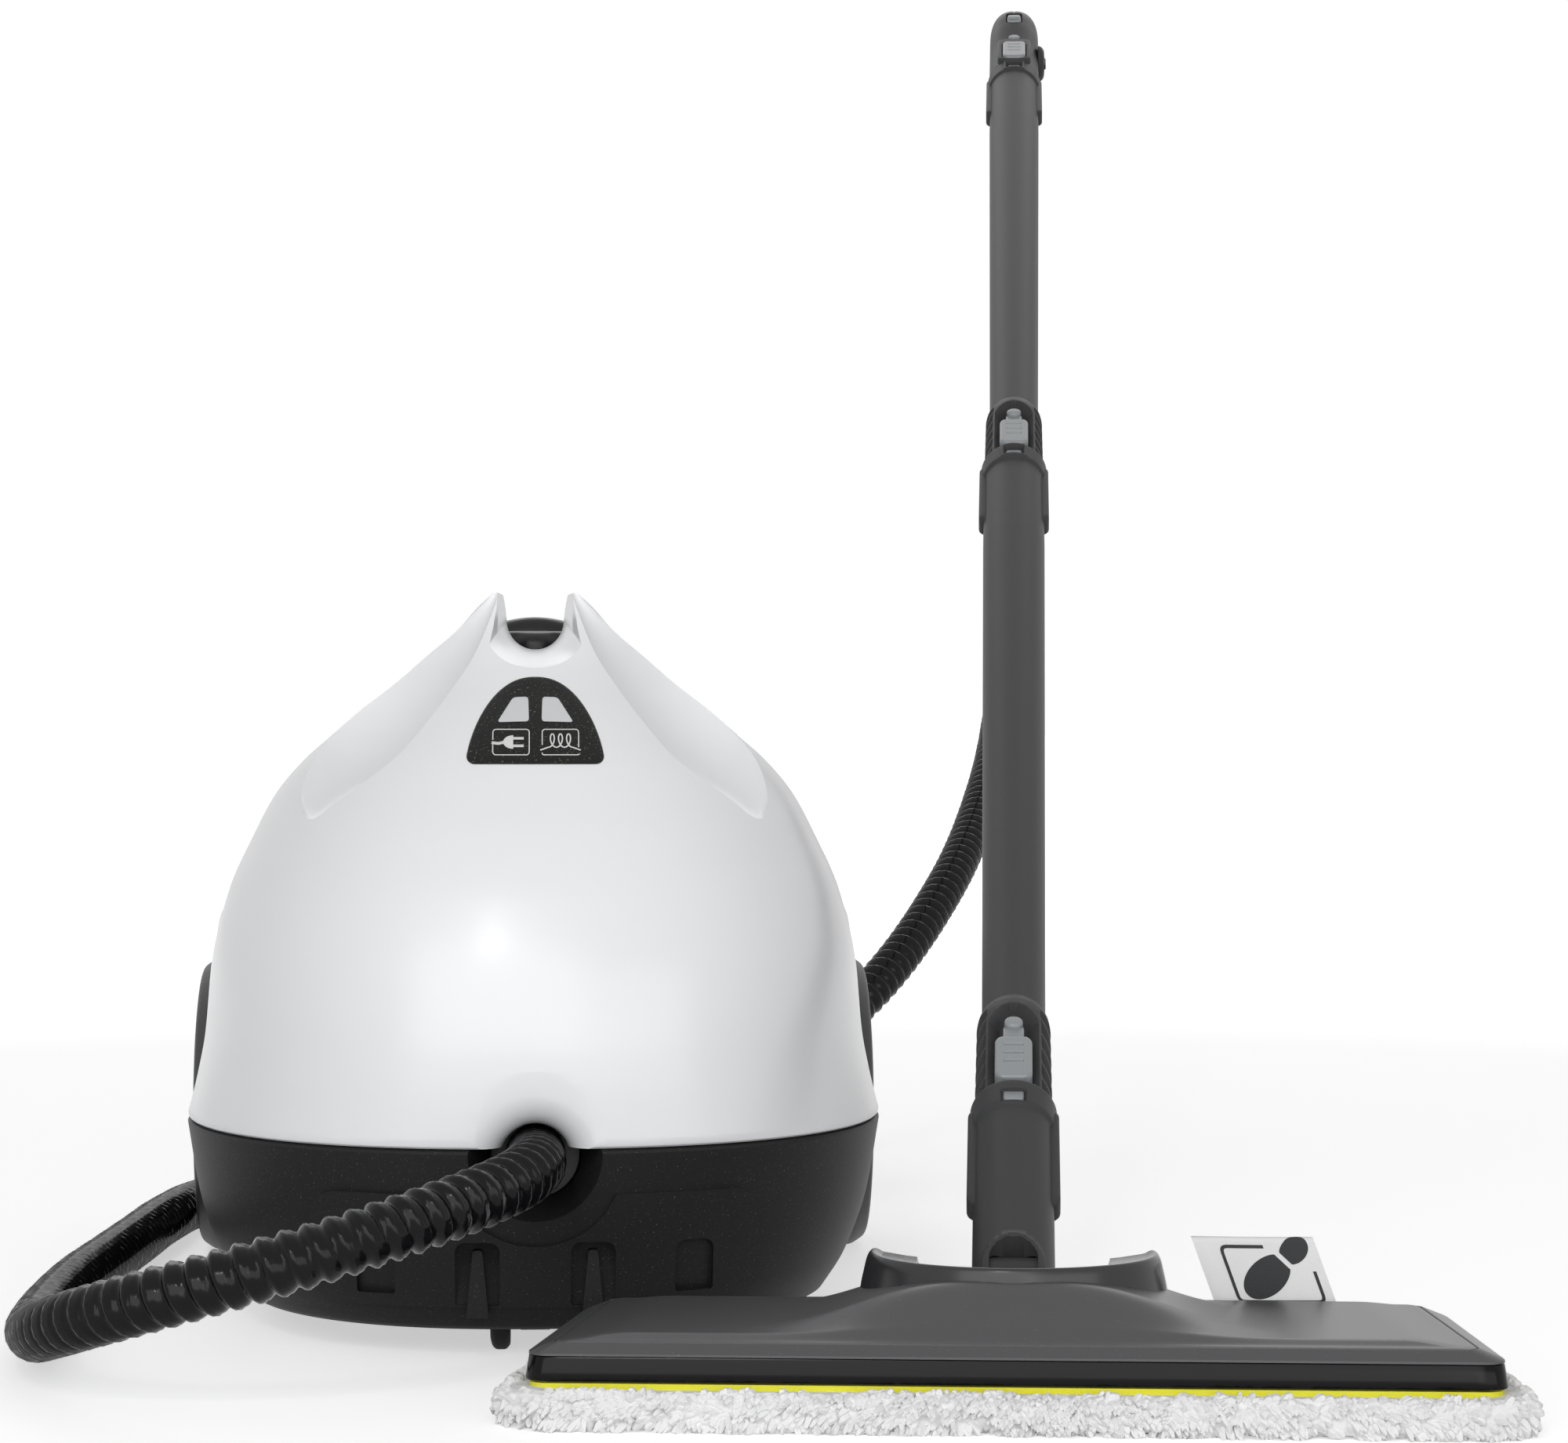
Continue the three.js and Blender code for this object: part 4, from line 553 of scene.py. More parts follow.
def soft_corners(profile, reach, steps=5):
    """Open line whose corners are drawn round: a quadratic curve from just before each to just after."""
    line = np.asarray(profile, float)
    before, corner, after = line[:-2], line[1:-1], line[2:]
    t = np.linspace(0, 1, steps)[None, :, None]

    def beside(other):
        gap = np.linalg.norm(other - corner, axis=1)[:, None]
        return (corner + (other - corner) * np.minimum(reach / gap, 0.45))[:, None]

    curve = (1 - t) ** 2 * beside(before) + 2 * t * (1 - t) * corner[:, None] + t**2 * beside(after)
    return np.vstack([line[:1], curve.reshape(-1, line.shape[1]), line[-1:]])


slots, ribs = [], []
for x, low, high, width in ((-0.054, 0.023, 0.0415, 0.013), (-0.0195, 0.0195, 0.042, 0.0150),
                            (0.0195, 0.0195, 0.042, 0.0150), (0.054, 0.023, 0.0415, 0.013)):
    hole = rounded_box(width, high - low, 0.0035, (x, (low + high) / 2), low_corner=slot_foot_corner)
    if abs(x) > 0.03:  # the outer two are shallow, with a floor that follows the base's face
        sunk = solid("sunk", *base_skin(face_heights, -0.0006))
        slots.append(carve(front_prism(hole, -0.25, -0.1), "DIFFERENCE", sunk))
    else:  # the inner two are deep, with a tapered rib in each
        face = base_front(x, (low + high) / 2) - panel_out
        slots.append(front_prism(hole, -0.25, face + slot_floor))
        rib = np.array([[-0.0038, low - 0.004], [0.0038, low - 0.004],
                        [0.0016, high - 0.0035], [-0.0016, high - 0.0035], [-0.0038, low - 0.004]])
        ribs.append(front_prism(soft_corners(rib, 0.001) + [x, 0], face + 0.0022, face + 0.012))
castor_post = rod_tool([0, castor_back, 0.005], [0, castor_back, 0.050], 0.032)
underside = carve(solid("underside", *base_skin(np.array([0.0, 0.0139]), -0.019)), "DIFFERENCE", castor_post)
carve(
    base, "DIFFERENCE", underside, *wheel_arches(), *slots,
    rod_tool([0, castor_back, -0.01], [0, castor_back, 0.036], castor_well),
    bore(-0.194, -0.171, 0.0250, 0.0158), bore(-0.180, -0.140, 0.0158),
    bore(0.150, 0.25, 0.0063, height=0.048),
)
carve(base, "UNION", *ribs)


def grey(level):
    """A neutral colour of one level."""
    return (level, level, level)


def flecked(name, colour, fleck, roughness, share, size, depth, **sockets):
    """Moulded grain with a share of small lighter flecks of a size, in metres."""
    made, tree, shader = shader_of(name, colour, roughness, **sockets)
    place = add(tree, "ShaderNodeTexCoord").outputs["Object"]
    cells = add(tree, "ShaderNodeTexNoise", Vector=place, Scale=1 / size, Detail=3.0).outputs["Fac"]
    reach = add(tree, "ShaderNodeMapRange", Value=cells, From_Min=0.66 - share, From_Max=0.74 - share)
    blended(tree, shader, reach.outputs["Result"], colour, fleck)
    lifted(tree, shader, cells, depth, 0.8)
    return made


spark_black = flecked("spark_eroded_black", (0.022, 0.022, 0.023), grey(0.10), roughness=0.44,
                      share=0.01, size=0.0006, depth=0.00012, Specular_IOR_Level=0.08)
settle(base, "unit", spark_black, ["base_shell"], crease=30)

# ---------- hose outlet ----------
# A black nylon bush, clamped between bonnet and base, that the end of the hose is held in.
bush_profile = [(0, 0.0106), (0, 0.0150), (0.0006, 0.0155), (0.018, 0.0155), (0.018, 0.004), (0.012, 0.004),
                (0.012, 0.0106), (0, 0.0106)]
bush = turned(bush_profile, 64, [0, -0.163, outlet_height], [0, 0, outlet_height])
bush = solid("outlet_bush", *skin(on_unit(bush)))
dark_nylon = moulded("dark_nylon", grey(0.012), grey(0.02), roughness=0.5, mottle=0.06,
                     grain=0.0012, depth=0.00003)
settle(bush, "unit", dark_nylon, ["hose_outlet"], crease=30)

# ---------- rear wheels ----------
# Two wheels of one black moulding, with a dished face and a raised hub under a snap-on cap. They turn on a
# steel axle through the base.
wheel_inner = 0.110
wheel_profile = soft_corners([
    (0, 0.0043), (0, 0.016), (0.006, 0.018), (0.006, 0.044), (0, 0.048), (0, 0.057), (0.004, wheel_radius),
    (0.020, wheel_radius), (0.026, 0.056), (0.026, 0.047), (0.021, 0.043), (0.0235, 0.028), (0.021, 0.0275),
    (0.021, 0.0043),
], 0.0022)
disc_profile = soft_corners([(0.0205, 0), (0.0205, 0.0235), (0.0243, 0.025), (0.0270, 0.020), (0.0280, 0)],
                            0.002)
tyre_black = moulded("wheel_black", (0.020, 0.020, 0.021), (0.028, 0.028, 0.029), roughness=0.46, mottle=0.06,
                     grain=0.0010, depth=0.00003)
for name, side in (("left", -1), ("right", 1)):
    for piece, profile, sides, finish, node in (("road_wheel", wheel_profile, 128, tyre_black, "wheel"),
                                                ("hub_disc", disc_profile, 96, dark_nylon, "hub_cap")):
        wheel = turned(profile, sides, axle_point(side, wheel_inner), axle_point(side, beyond))
        settle(solid(f"{piece}_{name}", *skin(on_unit(wheel))), f"wheel_{name}", finish,
               [f"{node}_{name}"])

# ---------- castor ----------
# A twin-rim rubber roller in a black fork that swivels in a well under the front of the base.
castor_radius, castor_trail = 0.0125, 0.011
right_rim = np.array([(0.0085, 0.0030), (0.0085, 0.0108), (0.0100, castor_radius), (0.0135, castor_radius),
                      (0.0148, 0.0112), (0.0155, 0.0085), (0.0155, 0)])
roller_profile = soft_corners(np.vstack([right_rim[::-1] * [-1, 1], right_rim]), 0.0008)
castor_centre = np.array([0, castor_back - castor_trail, castor_radius])
roller = turned(roller_profile, 64, castor_centre, castor_centre + [1, 0, 0])
matt_rubber = moulded("matt_rubber", grey(0.010), (0.018, 0.018, 0.017), roughness=0.72, mottle=0.06,
                      grain=0.0008, depth=0.00004, Specular_IOR_Level=0.25)
roller = solid("castor_roller", *skin(on_unit(roller)))
settle(roller, "castor_roller", matt_rubber, ["castor_wheel"])

# ---------- safety cap ----------
# A black screw cap over the boiler's neck, moulded of polyamide with shallow flutes round its wall and a
# long rounded grip from left to right across its top. It closes on a seal inside.
cap_foot, cap_radius, cap_flutes, flute_depth = 0.217, 0.033, 12, 0.0016
grip_foot, grip_top, grip_half_length, grip_half_width = 0.026, 0.0392, 0.0270, 0.0105


def cap_surface(sides):
    """A profile turned round the neck, whose wall dips at each flute by a squared raised cosine."""
    profile = soft_corners([(0, 0.0015), (0, 0.0316), (0.002, cap_radius), (0.0300, 0.0324), (0.0330, 0.0290),
                            (0.0345, 0)], 0.0020, 9)
    up, radius = profile.T
    turn = full_turn(sides)
    walled = np.clip((radius - 0.027) / 0.004, 0, 1) * np.clip((up + 0.001) / 0.002, 0, 1)
    dip = flute_depth * (0.5 - 0.5 * np.cos(cap_flutes * turn)) ** 2
    reach = radius[:, None] - walled[:, None] * dip[None, :]
    height = cap_foot + np.broadcast_to(up[:, None], reach.shape)
    return on_unit(np.stack([reach * np.cos(turn), boiler_at + reach * np.sin(turn), height], axis=-1))


def grip_surface():
    """Long superellipses from inside the cap up to the grip's ridge, which shrink by the root of what is
    left of a power of the way up."""
    share = np.sin(np.linspace(0, np.pi / 2, 24))[:, None]
    height = grip_foot + (grip_top - grip_foot) * share
    shrink = np.sqrt(np.clip(1 - share**1.6, 0.0004, 1))
    turn = full_turn(96)[None, :]
    x = grip_half_length * shrink * squarer(np.cos(turn), 0.8)
    y = grip_half_width * shrink**0.5 * squarer(np.sin(turn), 0.8)
    return on_unit(np.stack([x, boiler_at + y, cap_foot + height + 0 * x], axis=-1))


cap = solid("screw_cap", *skin(cap_surface(240)))
carve(cap, "UNION", solid("grip_ridge", *skin(grip_surface())))
cap_black = flecked("cap_black", grey(0.010), grey(0.03), roughness=0.34, share=0.02,
                    size=0.0006, depth=0.00008, Specular_IOR_Level=0.25)
settle(cap, "cap_grip", cap_black, ["cap_grip"])

# ---------- indicator panel ----------
# A black speckled inlay let into the bonnet's front, with a window of milky polycarbonate for each of two
# lamps and a pictogram printed under each: a mains plug and a heating coil.
panel_foot, panel_rise, panel_half, panel_corner = 0.2023, 0.0305, 0.0241, 0.0032


def laid(outline, proud, depth):
    """A closed plate on the bonnet's front: rings of an outline drawn in to its middle stand proud of the
    face, and one ring of it lies a depth behind."""
    outline = np.asarray(outline)
    middle = outline.mean(axis=0)
    shares = np.concatenate([[1, 1, 0.985, 0.97], np.linspace(0.85, 0.03, 7)])
    rows = middle + (outline - middle) * shares[:, None, None]
    stand = np.array([-depth, 0.4 * proud, 0.85 * proud] + [proud] * 8)[:, None]
    return skin(on_unit(bonnet_front(rows[..., 0], rows[..., 1], stand)))


def line_edges(path, width):
    """How far a flat line's right edge lies from each point of its path."""
    along = direction(np.gradient(path, axis=0))
    return np.column_stack([-along[:, 1], along[:, 0]]) * width / 2


def printed(path, width, proud):
    """A thin printed line on the bonnet's front along a path of places across and heights."""
    edge = line_edges(path, width)
    ring = [bonnet_front(*(path + way * edge).T, stand)
            for way, stand in ((-1, 0), (1, 0), (1, proud), (-1, proud))]
    return skin(on_unit(np.stack(ring, axis=1)))


def filled_in(path, spacing):
    """Points of a path at an even spacing along it."""
    path = np.asarray(path, float)
    length = travelled(path)
    at = np.linspace(0, length[-1], max(3, round(length[-1] / spacing) + 1))
    return np.column_stack([np.interp(at, length, path[:, k]) for k in range(2)])


rise = np.sin(np.linspace(0, np.pi / 2, 40)) ** 2
reach = panel_half * (1 - rise**1.5) ** 0.45
foot = np.clip(panel_corner - rise * panel_rise, 0, None)
reach -= panel_corner - np.sqrt(panel_corner**2 - foot**2)
right_side = np.column_stack([reach, panel_foot + rise * panel_rise])
face_line = np.vstack([right_side, right_side[-2::-1] * [-1, 1], right_side[:1]])
face = solid("indicator_face", *laid(filled_in(face_line, 0.0006)[:-1], 0.0007, 0.002))
panel_black = flecked("panel_black", grey(0.006), (0.22, 0.22, 0.13), roughness=0.30, share=0.02,
                      size=0.0006, depth=0.00008, Specular_IOR_Level=0.2)
settle(face, "unit", panel_black, ["indicator_panel"], crease=50)

milky = moulded("milky_window", (0.60, 0.61, 0.62), (0.70, 0.70, 0.71), roughness=0.22, mottle=0.04,
                grain=0.002, depth=0.00001)
for name, side in (("left", -1), ("right", 1)):
    corners = np.array([[0.0021, 0.2170], [0.0024, 0.2258], [0.0078, 0.2256], [0.0134, 0.2167]]) * [side, 1]
    foot_middle = corners[-1:] * 0.5 + corners[:1] * 0.5
    line = soft_corners(np.vstack([foot_middle, corners, foot_middle]), 0.0012)
    window = solid(f"window_{name}", *laid(filled_in(line, 0.0005)[:-1], 0.0010, 0.004))
    settle(window, "unit", milky, [f"lamp_window_{name}"], crease=50)

white_print = moulded("white_print", (0.74, 0.74, 0.73), grey(0.66), roughness=0.5, mottle=0.05,
                      grain=0.001, depth=0.000002)
plug_at, coil_at = np.array([[-0.0084, 0.2099], [0.0087, 0.2099]])
print_proud, frame_half, frame_top, frame_width = 0.00078, 0.0063, 0.0044, 0.00035
frame_arcs = np.split(rounded_box(2 * frame_half, 2 * frame_top, 0.0010, steps=5), 4)
low_right, high_right, high_left, low_left = frame_arcs
plug_frame = np.vstack([[[-frame_half, -0.0008]], low_left, low_right, high_right, high_left,
                        [[-frame_half, 0.0008]]])
coil_hood = np.vstack([[[frame_half, -0.0018]], high_right, high_left, [[-frame_half, -0.0010]]])
coil_foot = soft_corners([[-frame_half, -0.0036], [-frame_half, -frame_top], [frame_half, -frame_top],
                          [frame_half + 0.0003, -0.0041]], 0.0008)
nose = np.radians(np.linspace(90, 270, 15))
plug_body = np.column_stack([0.0036 * np.cos(nose) + 0.0008, 0.0024 * np.sin(nose)])
plug_body = filled_in(np.vstack([plug_body, plug_body[:1]]), 0.0004)[:-1]
loops = np.linspace(0, 1, 160)
lap = np.clip((loops - 0.2) / 0.6, 0, 1) * 6 * np.pi
tails = np.clip(np.abs(loops - 0.5) - 0.3, 0, None)
coil = np.column_stack([0.0140 * (loops - 0.5) + 0.0013 * np.sin(lap),
                        -0.0018 + 0.0023 * (1 - np.cos(lap)) - 0.005 * tails])
cable = [[-0.0067, -0.0002], [-0.0044, -0.0005], [-0.0022, 0]]
pictograms = [solid("plug_body", *laid(plug_body + plug_at, print_proud, 0))]
for name, path, width in (
    ("plug_cable", filled_in(cable, 0.0005) + plug_at, 0.0010),
    ("plug_pin_high", filled_in([[0.0006, 0.0013], [0.0044, 0.0013]], 0.0005) + plug_at, 0.0009),
    ("plug_pin_low", filled_in([[0.0006, -0.0013], [0.0044, -0.0013]], 0.0005) + plug_at, 0.0009),
    ("plug_frame", filled_in(plug_frame, 0.0004) + plug_at, frame_width),
    ("coil_hood", filled_in(coil_hood, 0.0004) + coil_at, frame_width),
    ("coil_foot", filled_in(coil_foot, 0.0004) + coil_at, frame_width),
):
    pictograms.append(solid(name, *printed(path, width, print_proud)))
pictograms.append(solid("coil_line", *printed(coil + coil_at, 0.00045, print_proud + 0.00002)))
for mark in pictograms:
    settle(mark, "unit", white_print, crease=50)

# ---------- extension tubes ----------
# Two tubes of satin charcoal polypropylene. Each has a sleeve with an arched window for its latch, between
# slanting ribs, and at its other end a rimmed socket with two wings that the next piece pushes into.
socket_radius = 0.0135
window_half, window_top, frame_band = 0.0085, 0.0405, 0.0014
tongue_half = 0.0044


def eased_step(x, low, high):
    """Rises smoothly from 0 below low to 1 above high."""
    t = np.clip((x - low) / (high - low), 0, 1)
    return t * t * (3 - 2 * t)


def arch_band(across, way, half, spring, width):
    """1 on a band of a width round an arch whose round top springs from a height, and 0 off it, with how far
    out of the arch a place is."""
    edge = np.hypot(across, np.clip(way - spring, 0, None)) - half
    return eased_step(edge, -0.0002, 0.0001) * eased_step(-edge, -width, -width + 0.0004), edge


def latch_relief(across, way):
    """How far the wall round the arched window moves: a sunk floor inside, and a raised band round it."""
    band, edge = arch_band(across, way, window_half, window_top, frame_band)
    inside = eased_step(-edge, 0, 0.0005) * eased_step(way, 0.0008, 0.0012)
    return 0.0005 * band - 0.0050 * inside


def rib_relief(around, way):
    """How far the wall sinks between slanting ribs, beside the window and short of the back."""
    flank = eased_step(around, 0.80, 0.86) * eased_step(-around, -2.15, -2.05)
    flank = flank * eased_step(way, 0.0015, 0.0022) * eased_step(-way, -0.0520, -0.0500)
    lean = np.mod(way + 0.0085 * (around - 0.83), 0.0092) / 0.0092
    rib = eased_step(np.abs(lean - 0.5), 0.36, 0.41)
    return -0.0023 * flank * (1 - rib)


def tongue_relief(across, way_down, middle, half, lift):
    """How far the socket's wall moves round the small window of the latch's tongue, framed by a lift."""
    edge = np.maximum(np.abs(across) - tongue_half, np.abs(way_down - middle) - half)
    inside = eased_step(-edge, 0, 0.0005)
    band = eased_step(edge, -0.0002, 0.0001) * eased_step(-edge, -0.0016, -0.0011)
    return lift * band - 0.0036 * inside


def wall(profile, height, columns=240, **relief):
    """A turned wall on the stick whose radius also moves by reliefs of its place round it and along it.
    The turn starts underneath, so that the up side is half a turn away."""
    way, radius = np.asarray(profile).T
    turn = full_turn(columns)
    around = np.abs(turn - np.pi)[None, :]
    across = radius[:, None] * np.sin(turn - np.pi)[None, :] + 2 * (np.cos(around) < 0)
    way = way[:, None]
    reach = radius[:, None] + 0 * around
    if "sleeve" in relief:
        reach = reach + latch_relief(across, way) + rib_relief(around, way)
    if "mouth" in relief:
        reach = reach + 0.0007 * arch_band(across, way, *relief["mouth"])[0]
    if "socket" in relief:
        top, *window = relief["socket"]
        reach = reach + tongue_relief(across, top - way, *window)
    points = [reach * np.sin(turn - np.pi), -reach * np.cos(turn - np.pi), way + 0 * reach]
    return on_stick(np.stack(points, axis=-1), height)


def stations(corners, fine):
    """A profile's corners drawn round, with stations as close as fine along its sleeve and its socket."""
    line = soft_corners(corners, 0.0014, 6)
    way = np.unique(np.concatenate([line[:, 0], fine]))
    return np.column_stack([way, np.interp(way, line[:, 0], line[:, 1])])


def prism(outline, low, high, edge, place):
    """A plate with softened edges: an outline carried from low to high, drawn in at both faces by an edge.
    Place puts points of (outline's two values, height) where they belong."""
    outline = np.asarray(outline)
    middle = outline.mean(axis=0)
    reach = np.abs(outline - middle).max(axis=0)
    inset, step = np.array([1, 0.7, 0.29, 0.08, 0]) * edge, np.array([0, 0.05, 0.3, 0.6, 1]) * edge
    inset = np.concatenate([inset, inset[::-1]])
    height = np.concatenate([low + step, high - step[::-1]])
    rows = middle + (outline - middle) * (1 - inset[:, None, None] / reach)
    return skin(place(np.dstack([rows, np.broadcast_to(height[:, None], rows.shape[:2])])))


def facing_up(height):
    """Puts (across, along the stick, towards its up side) on the stick from a height."""
    return lambda points: on_stick(points[..., [0, 2, 1]] * [1, -1, 1], height)


def joined(name, *shapes):
    """One closed piece of several shapes' points and faces that touch or cross."""
    points, faces, start = [], [], 0
    for shape_points, shape_faces in shapes:
        points.append(np.asarray(shape_points).reshape(-1, 3))
        faces += [tuple(start + corner for corner in face) for face in shape_faces]
        start += len(points[-1])
    return solid(name, np.vstack(points), faces)


def wings(top):
    """The two side wings under a socket's rim, as one plate through the tube."""
    outline = rounded_box(0.0312, 0.055, 0.0045, (0, top - 0.0295), 10)
    return prism(outline, -0.0045, 0.0045, 0.0016, facing_up(0))


def socket_rim(top):
    """Corners of a socket's rim, from its wall up to its mouth at a height."""
    return [(top - 0.0135, socket_radius), (top - 0.0120, 0.0146), (top, 0.0150), (top + 0.00001, 0.0112)]


charcoal = flecked("satin_charcoal", (0.060, 0.060, 0.062), (0.100, 0.100, 0.104), roughness=0.42,
                   share=-0.01, size=0.0006, depth=0.00005, Specular_IOR_Level=0.06)
socket_stations = np.linspace(0.0170, 0.0004, 46)
tube_corners = [(0.0003, 0.0096), (0.00031, 0.0134), (0.0500, 0.0131), (0.0545, 0.0126), (0.0570, 0.0113),
                (0.430, 0.0135)] + socket_rim(tube_pitch)
profile = stations(tube_corners, np.append(np.linspace(0.0006, 0.0545, 165), tube_pitch - socket_stations))
for name, height in (("lower", neck_length), ("upper", neck_length + tube_pitch)):
    shell = skin(wall(profile, height, sleeve=True, socket=(tube_pitch, 0.0060, 0.0042, 0.0005)))
    tube = joined(f"charcoal_tube_{name}", shell, wings(height + tube_pitch))
    settle(tube, "unit", charcoal, [f"tube_{name}"])

# ---------- latches ----------
# A sprung grey latch in each joint: a button with three grooves, a neck and a round stud above it, and a
# tongue below that snaps into the small window of the socket.
latch_base = 0.0082
button_width, button_length, button_corner, button_middle, button_edge = 0.013, 0.025, 0.0035, 0.0148, 0.0014
groove_depth, groove_half = 0.0011, 0.0008


def button(top):
    """A button cut into even steps along its length: each section rises from the latch's base, rounds over
    at its sides, and sinks at each groove. Its outline has round corners, and its ends round over too."""
    way = np.linspace(-0.5, 0.5, 161)[:, None] * button_length
    past = np.clip(np.abs(way) - (button_length / 2 - button_corner), 0, button_corner)
    half = np.maximum(button_width / 2 - button_corner + np.sqrt(button_corner**2 - past**2), 0.0003)
    across = half * np.sin(np.linspace(-np.pi / 2, np.pi / 2, 45))[None, :]
    inward = np.minimum(half - np.abs(across), button_length / 2 - np.abs(way))
    height = top - button_edge * (1 - np.sqrt(1 - np.clip(1 - inward / button_edge, 0, 1) ** 2))
    for groove in (-0.0030, 0.0020, 0.0070):
        reach = eased_step(button_width * 0.27 - np.abs(across), 0, 0.0004)
        height = height - groove_depth * reach * eased_step(groove_half - np.abs(way - groove), 0, 0.0005)
    foot = np.full_like(half, latch_base)
    x = np.hstack([-half, across, half])
    return np.stack([x, button_middle + way + 0 * x, np.hstack([foot, height, foot])], axis=-1)


def latch(name, height, top):
    """A latch of one moulding at a height on the stick, with its button's face at a distance from the axis:
    the button, the stud, the neck, the tongue and the bar that joins them."""
    place = facing_up(height)
    parts = [skin(place(button(top)))]
    for width, length, corner, at, steps, high, edge in (
        (0.0066, 0.0062, 0.0030, 0.0385, 8, top - 0.0012, 0.0012),
        (0.0074, 0.0116, 0.0008, 0.0310, 5, top - 0.0030, 0.0006),
        (0.0072, 0.0060, 0.0012, -0.0066, 5, socket_radius - 0.0002, 0.0008),
        (0.0070, 0.052, 0.0010, 0.0140, 4, 0.0101, 0.0004),
    ):
        parts.append(prism(rounded_box(width, length, corner, (0, at), steps), latch_base, high, edge, place))
    return joined(name, *parts)


latch_grey = moulded("latch_grey", (0.255, 0.275, 0.285), (0.285, 0.300, 0.310), roughness=0.38, mottle=0.05,
                     grain=0.0012, depth=0.00001)
for name, height, top in (("latch_lower", neck_length, 0.0144),
                          ("latch_upper", neck_length + tube_pitch, 0.0144),
                          ("gun_latch", gun_foot, 0.0166)):
    settle(latch(f"{name}_button", height, top), name, latch_grey, [name])

# ---------- neck ----------
# The floor head's swivel neck, of the same charcoal plastic: a socket with wings for the lower tube, and two
# cheeks that hold the cross piece on a steel pin.
mouth_half, mouth_spring = 0.0079, 0.0012
neck_corners = [(-0.0100, 0.0), (-0.0099, 0.0100), (-0.0060, 0.0133), (-0.0010, socket_radius)]
neck_rows = stations(neck_corners + socket_rim(neck_length),
                     np.append(np.linspace(-0.009, 0.079, 60), neck_length - socket_stations))
neck = wall(neck_rows, 0, socket=(neck_length, 0.0085, 0.0032, 0.0), mouth=(mouth_half, mouth_spring, 0.0024))
neck = solid("swivel_neck", *skin(neck))


def along_right(profile, height, sides=96):
    """A profile turned about the neck's tilting axis, moved up the stick by a height."""
    way, radius = np.asarray(profile).T[:, :, None]
    turn = full_turn(sides)[None, :]
    ring = np.stack([way + 0 * turn, radius * np.cos(turn), radius * np.sin(turn)], axis=-1)
    return skin(on_stick(ring, height))


mouth_length = 0.044
mouth = rounded_box(2 * mouth_half, mouth_length, mouth_half - 0.0001,
                    (0, mouth_spring + mouth_half - mouth_length / 2), 16)
mouth = prism(mouth, -0.03, 0.03, 0.00001, facing_up(0))
room = along_right([(-0.0097, 0.0100), (0.0097, 0.0100)], 0)
carve(neck, "DIFFERENCE", solid("mouth", *mouth), solid("room", *room))
carve(neck, "UNION", solid("neck_wings", *wings(neck_length)))
settle(neck, "unit", charcoal, ["nozzle_neck"])

barrel = soft_corners([(-0.0094, 0), (-0.0094, 0.0095), (0.0094, 0.0095), (0.0094, 0)], 0.0016)
trunnion = soft_corners([(0, 0.0050), (0.030, 0.0050), (0.0305, 0)], 0.0005)
knuckle = joined("cross_knuckle", along_right(barrel, 0), skin(turned(trunnion, 48, pivot, pivot - ahead)))
settle(knuckle, "cross_piece", charcoal, ["cross_piece"])

# ---------- steam gun ----------
# Two screwed halves of charcoal plastic round the steam pipe: a straight barrel that plugs into the upper
# tube, a round crown and a grip that turns back towards the hose. A seam runs between the halves.
gun_width, crown_height, seam_depth = 0.028, 0.0065, 0.00028


def gun_surface(columns=120, rows=150):
    """Superellipse sections along a smooth line from the barrel's foot through the crown to the grip's butt.
    The outer half of a section swells over the crown by a bell curve, the grip's waist thins by another,
    the butt rounds over, and the seam line is let in."""
    grip = [on_grip(along) for along in (0.022, 0.06, 0.10, grip_length)]
    line = smooth_line(np.array([[0, 0, 0], [0, 0, 0.03], [0, 0, 0.058], [0, 0.0045, 0.077], *grip]), 0.002)
    length = np.linspace(0, 1, len(line))
    share = np.linspace(0, 1, rows)
    line = np.stack([np.interp(share, length, line[:, k]) for k in range(3)], axis=1)
    outward = np.cross([1.0, 0, 0], direction(np.gradient(line, axis=0)))[:, None]
    turn = full_turn(columns)[None, :, None]
    c, s = np.cos(turn), np.sin(turn)
    power = 2 / 2.4
    share = share[:, None, None]
    crown = np.exp(-(((share - 0.40) / 0.13) ** 2))
    waist = 1 - 0.07 * np.exp(-(((share - 0.72) / 0.12) ** 2))
    end = np.clip((1 - share) / 0.03, 0, 1)
    close = 0.82 + 0.18 * np.sqrt(1 - (1 - end) ** 2)
    half = gun_width / 2 * waist * close
    tall = (gun_width / 2 + crown_height * crown * (s < 0)) * waist * close
    seam = seam_depth * (np.abs(c) * half < 0.0004)
    x = half * squarer(c, power)
    y = (tall - seam) * squarer(s, power)
    return on_stick(line[:, None] + x * np.array([1.0, 0, 0]) - y * outward, gun_foot)


def gun_plate(width, length, corner, middle, low, high, edge, steps=6):
    """A plate with round corners on the gun's up side, between two distances from the barrel's axis."""
    return prism(rounded_box(width, length, corner, (0, middle), steps), low, high, edge, facing_up(gun_foot))


lock_at, dial_at = 0.0645, gun_foot + 0.034
gun = solid("gun_body", *skin(gun_surface()))
boss = gun_plate(0.0190, 0.0360, 0.0050, 0.0175, 0.0060, 0.0152, 0.0016, 8)
carve(gun, "UNION", solid("gun_boss", *boss))
button_slot = gun_plate(0.0142, 0.0262, 0.0038, button_middle, 0.0085, 0.03, 0.00001, 8)
lock_slot = gun_plate(0.0094, 0.0150, 0.0015, lock_at + 0.002, 0.0122, 0.03, 0.00001)
carve(gun, "DIFFERENCE", solid("button_slot", *button_slot), solid("lock_slot", *lock_slot))
settle(gun, "unit", charcoal, ["gun_shell_left", "gun_shell_right"])

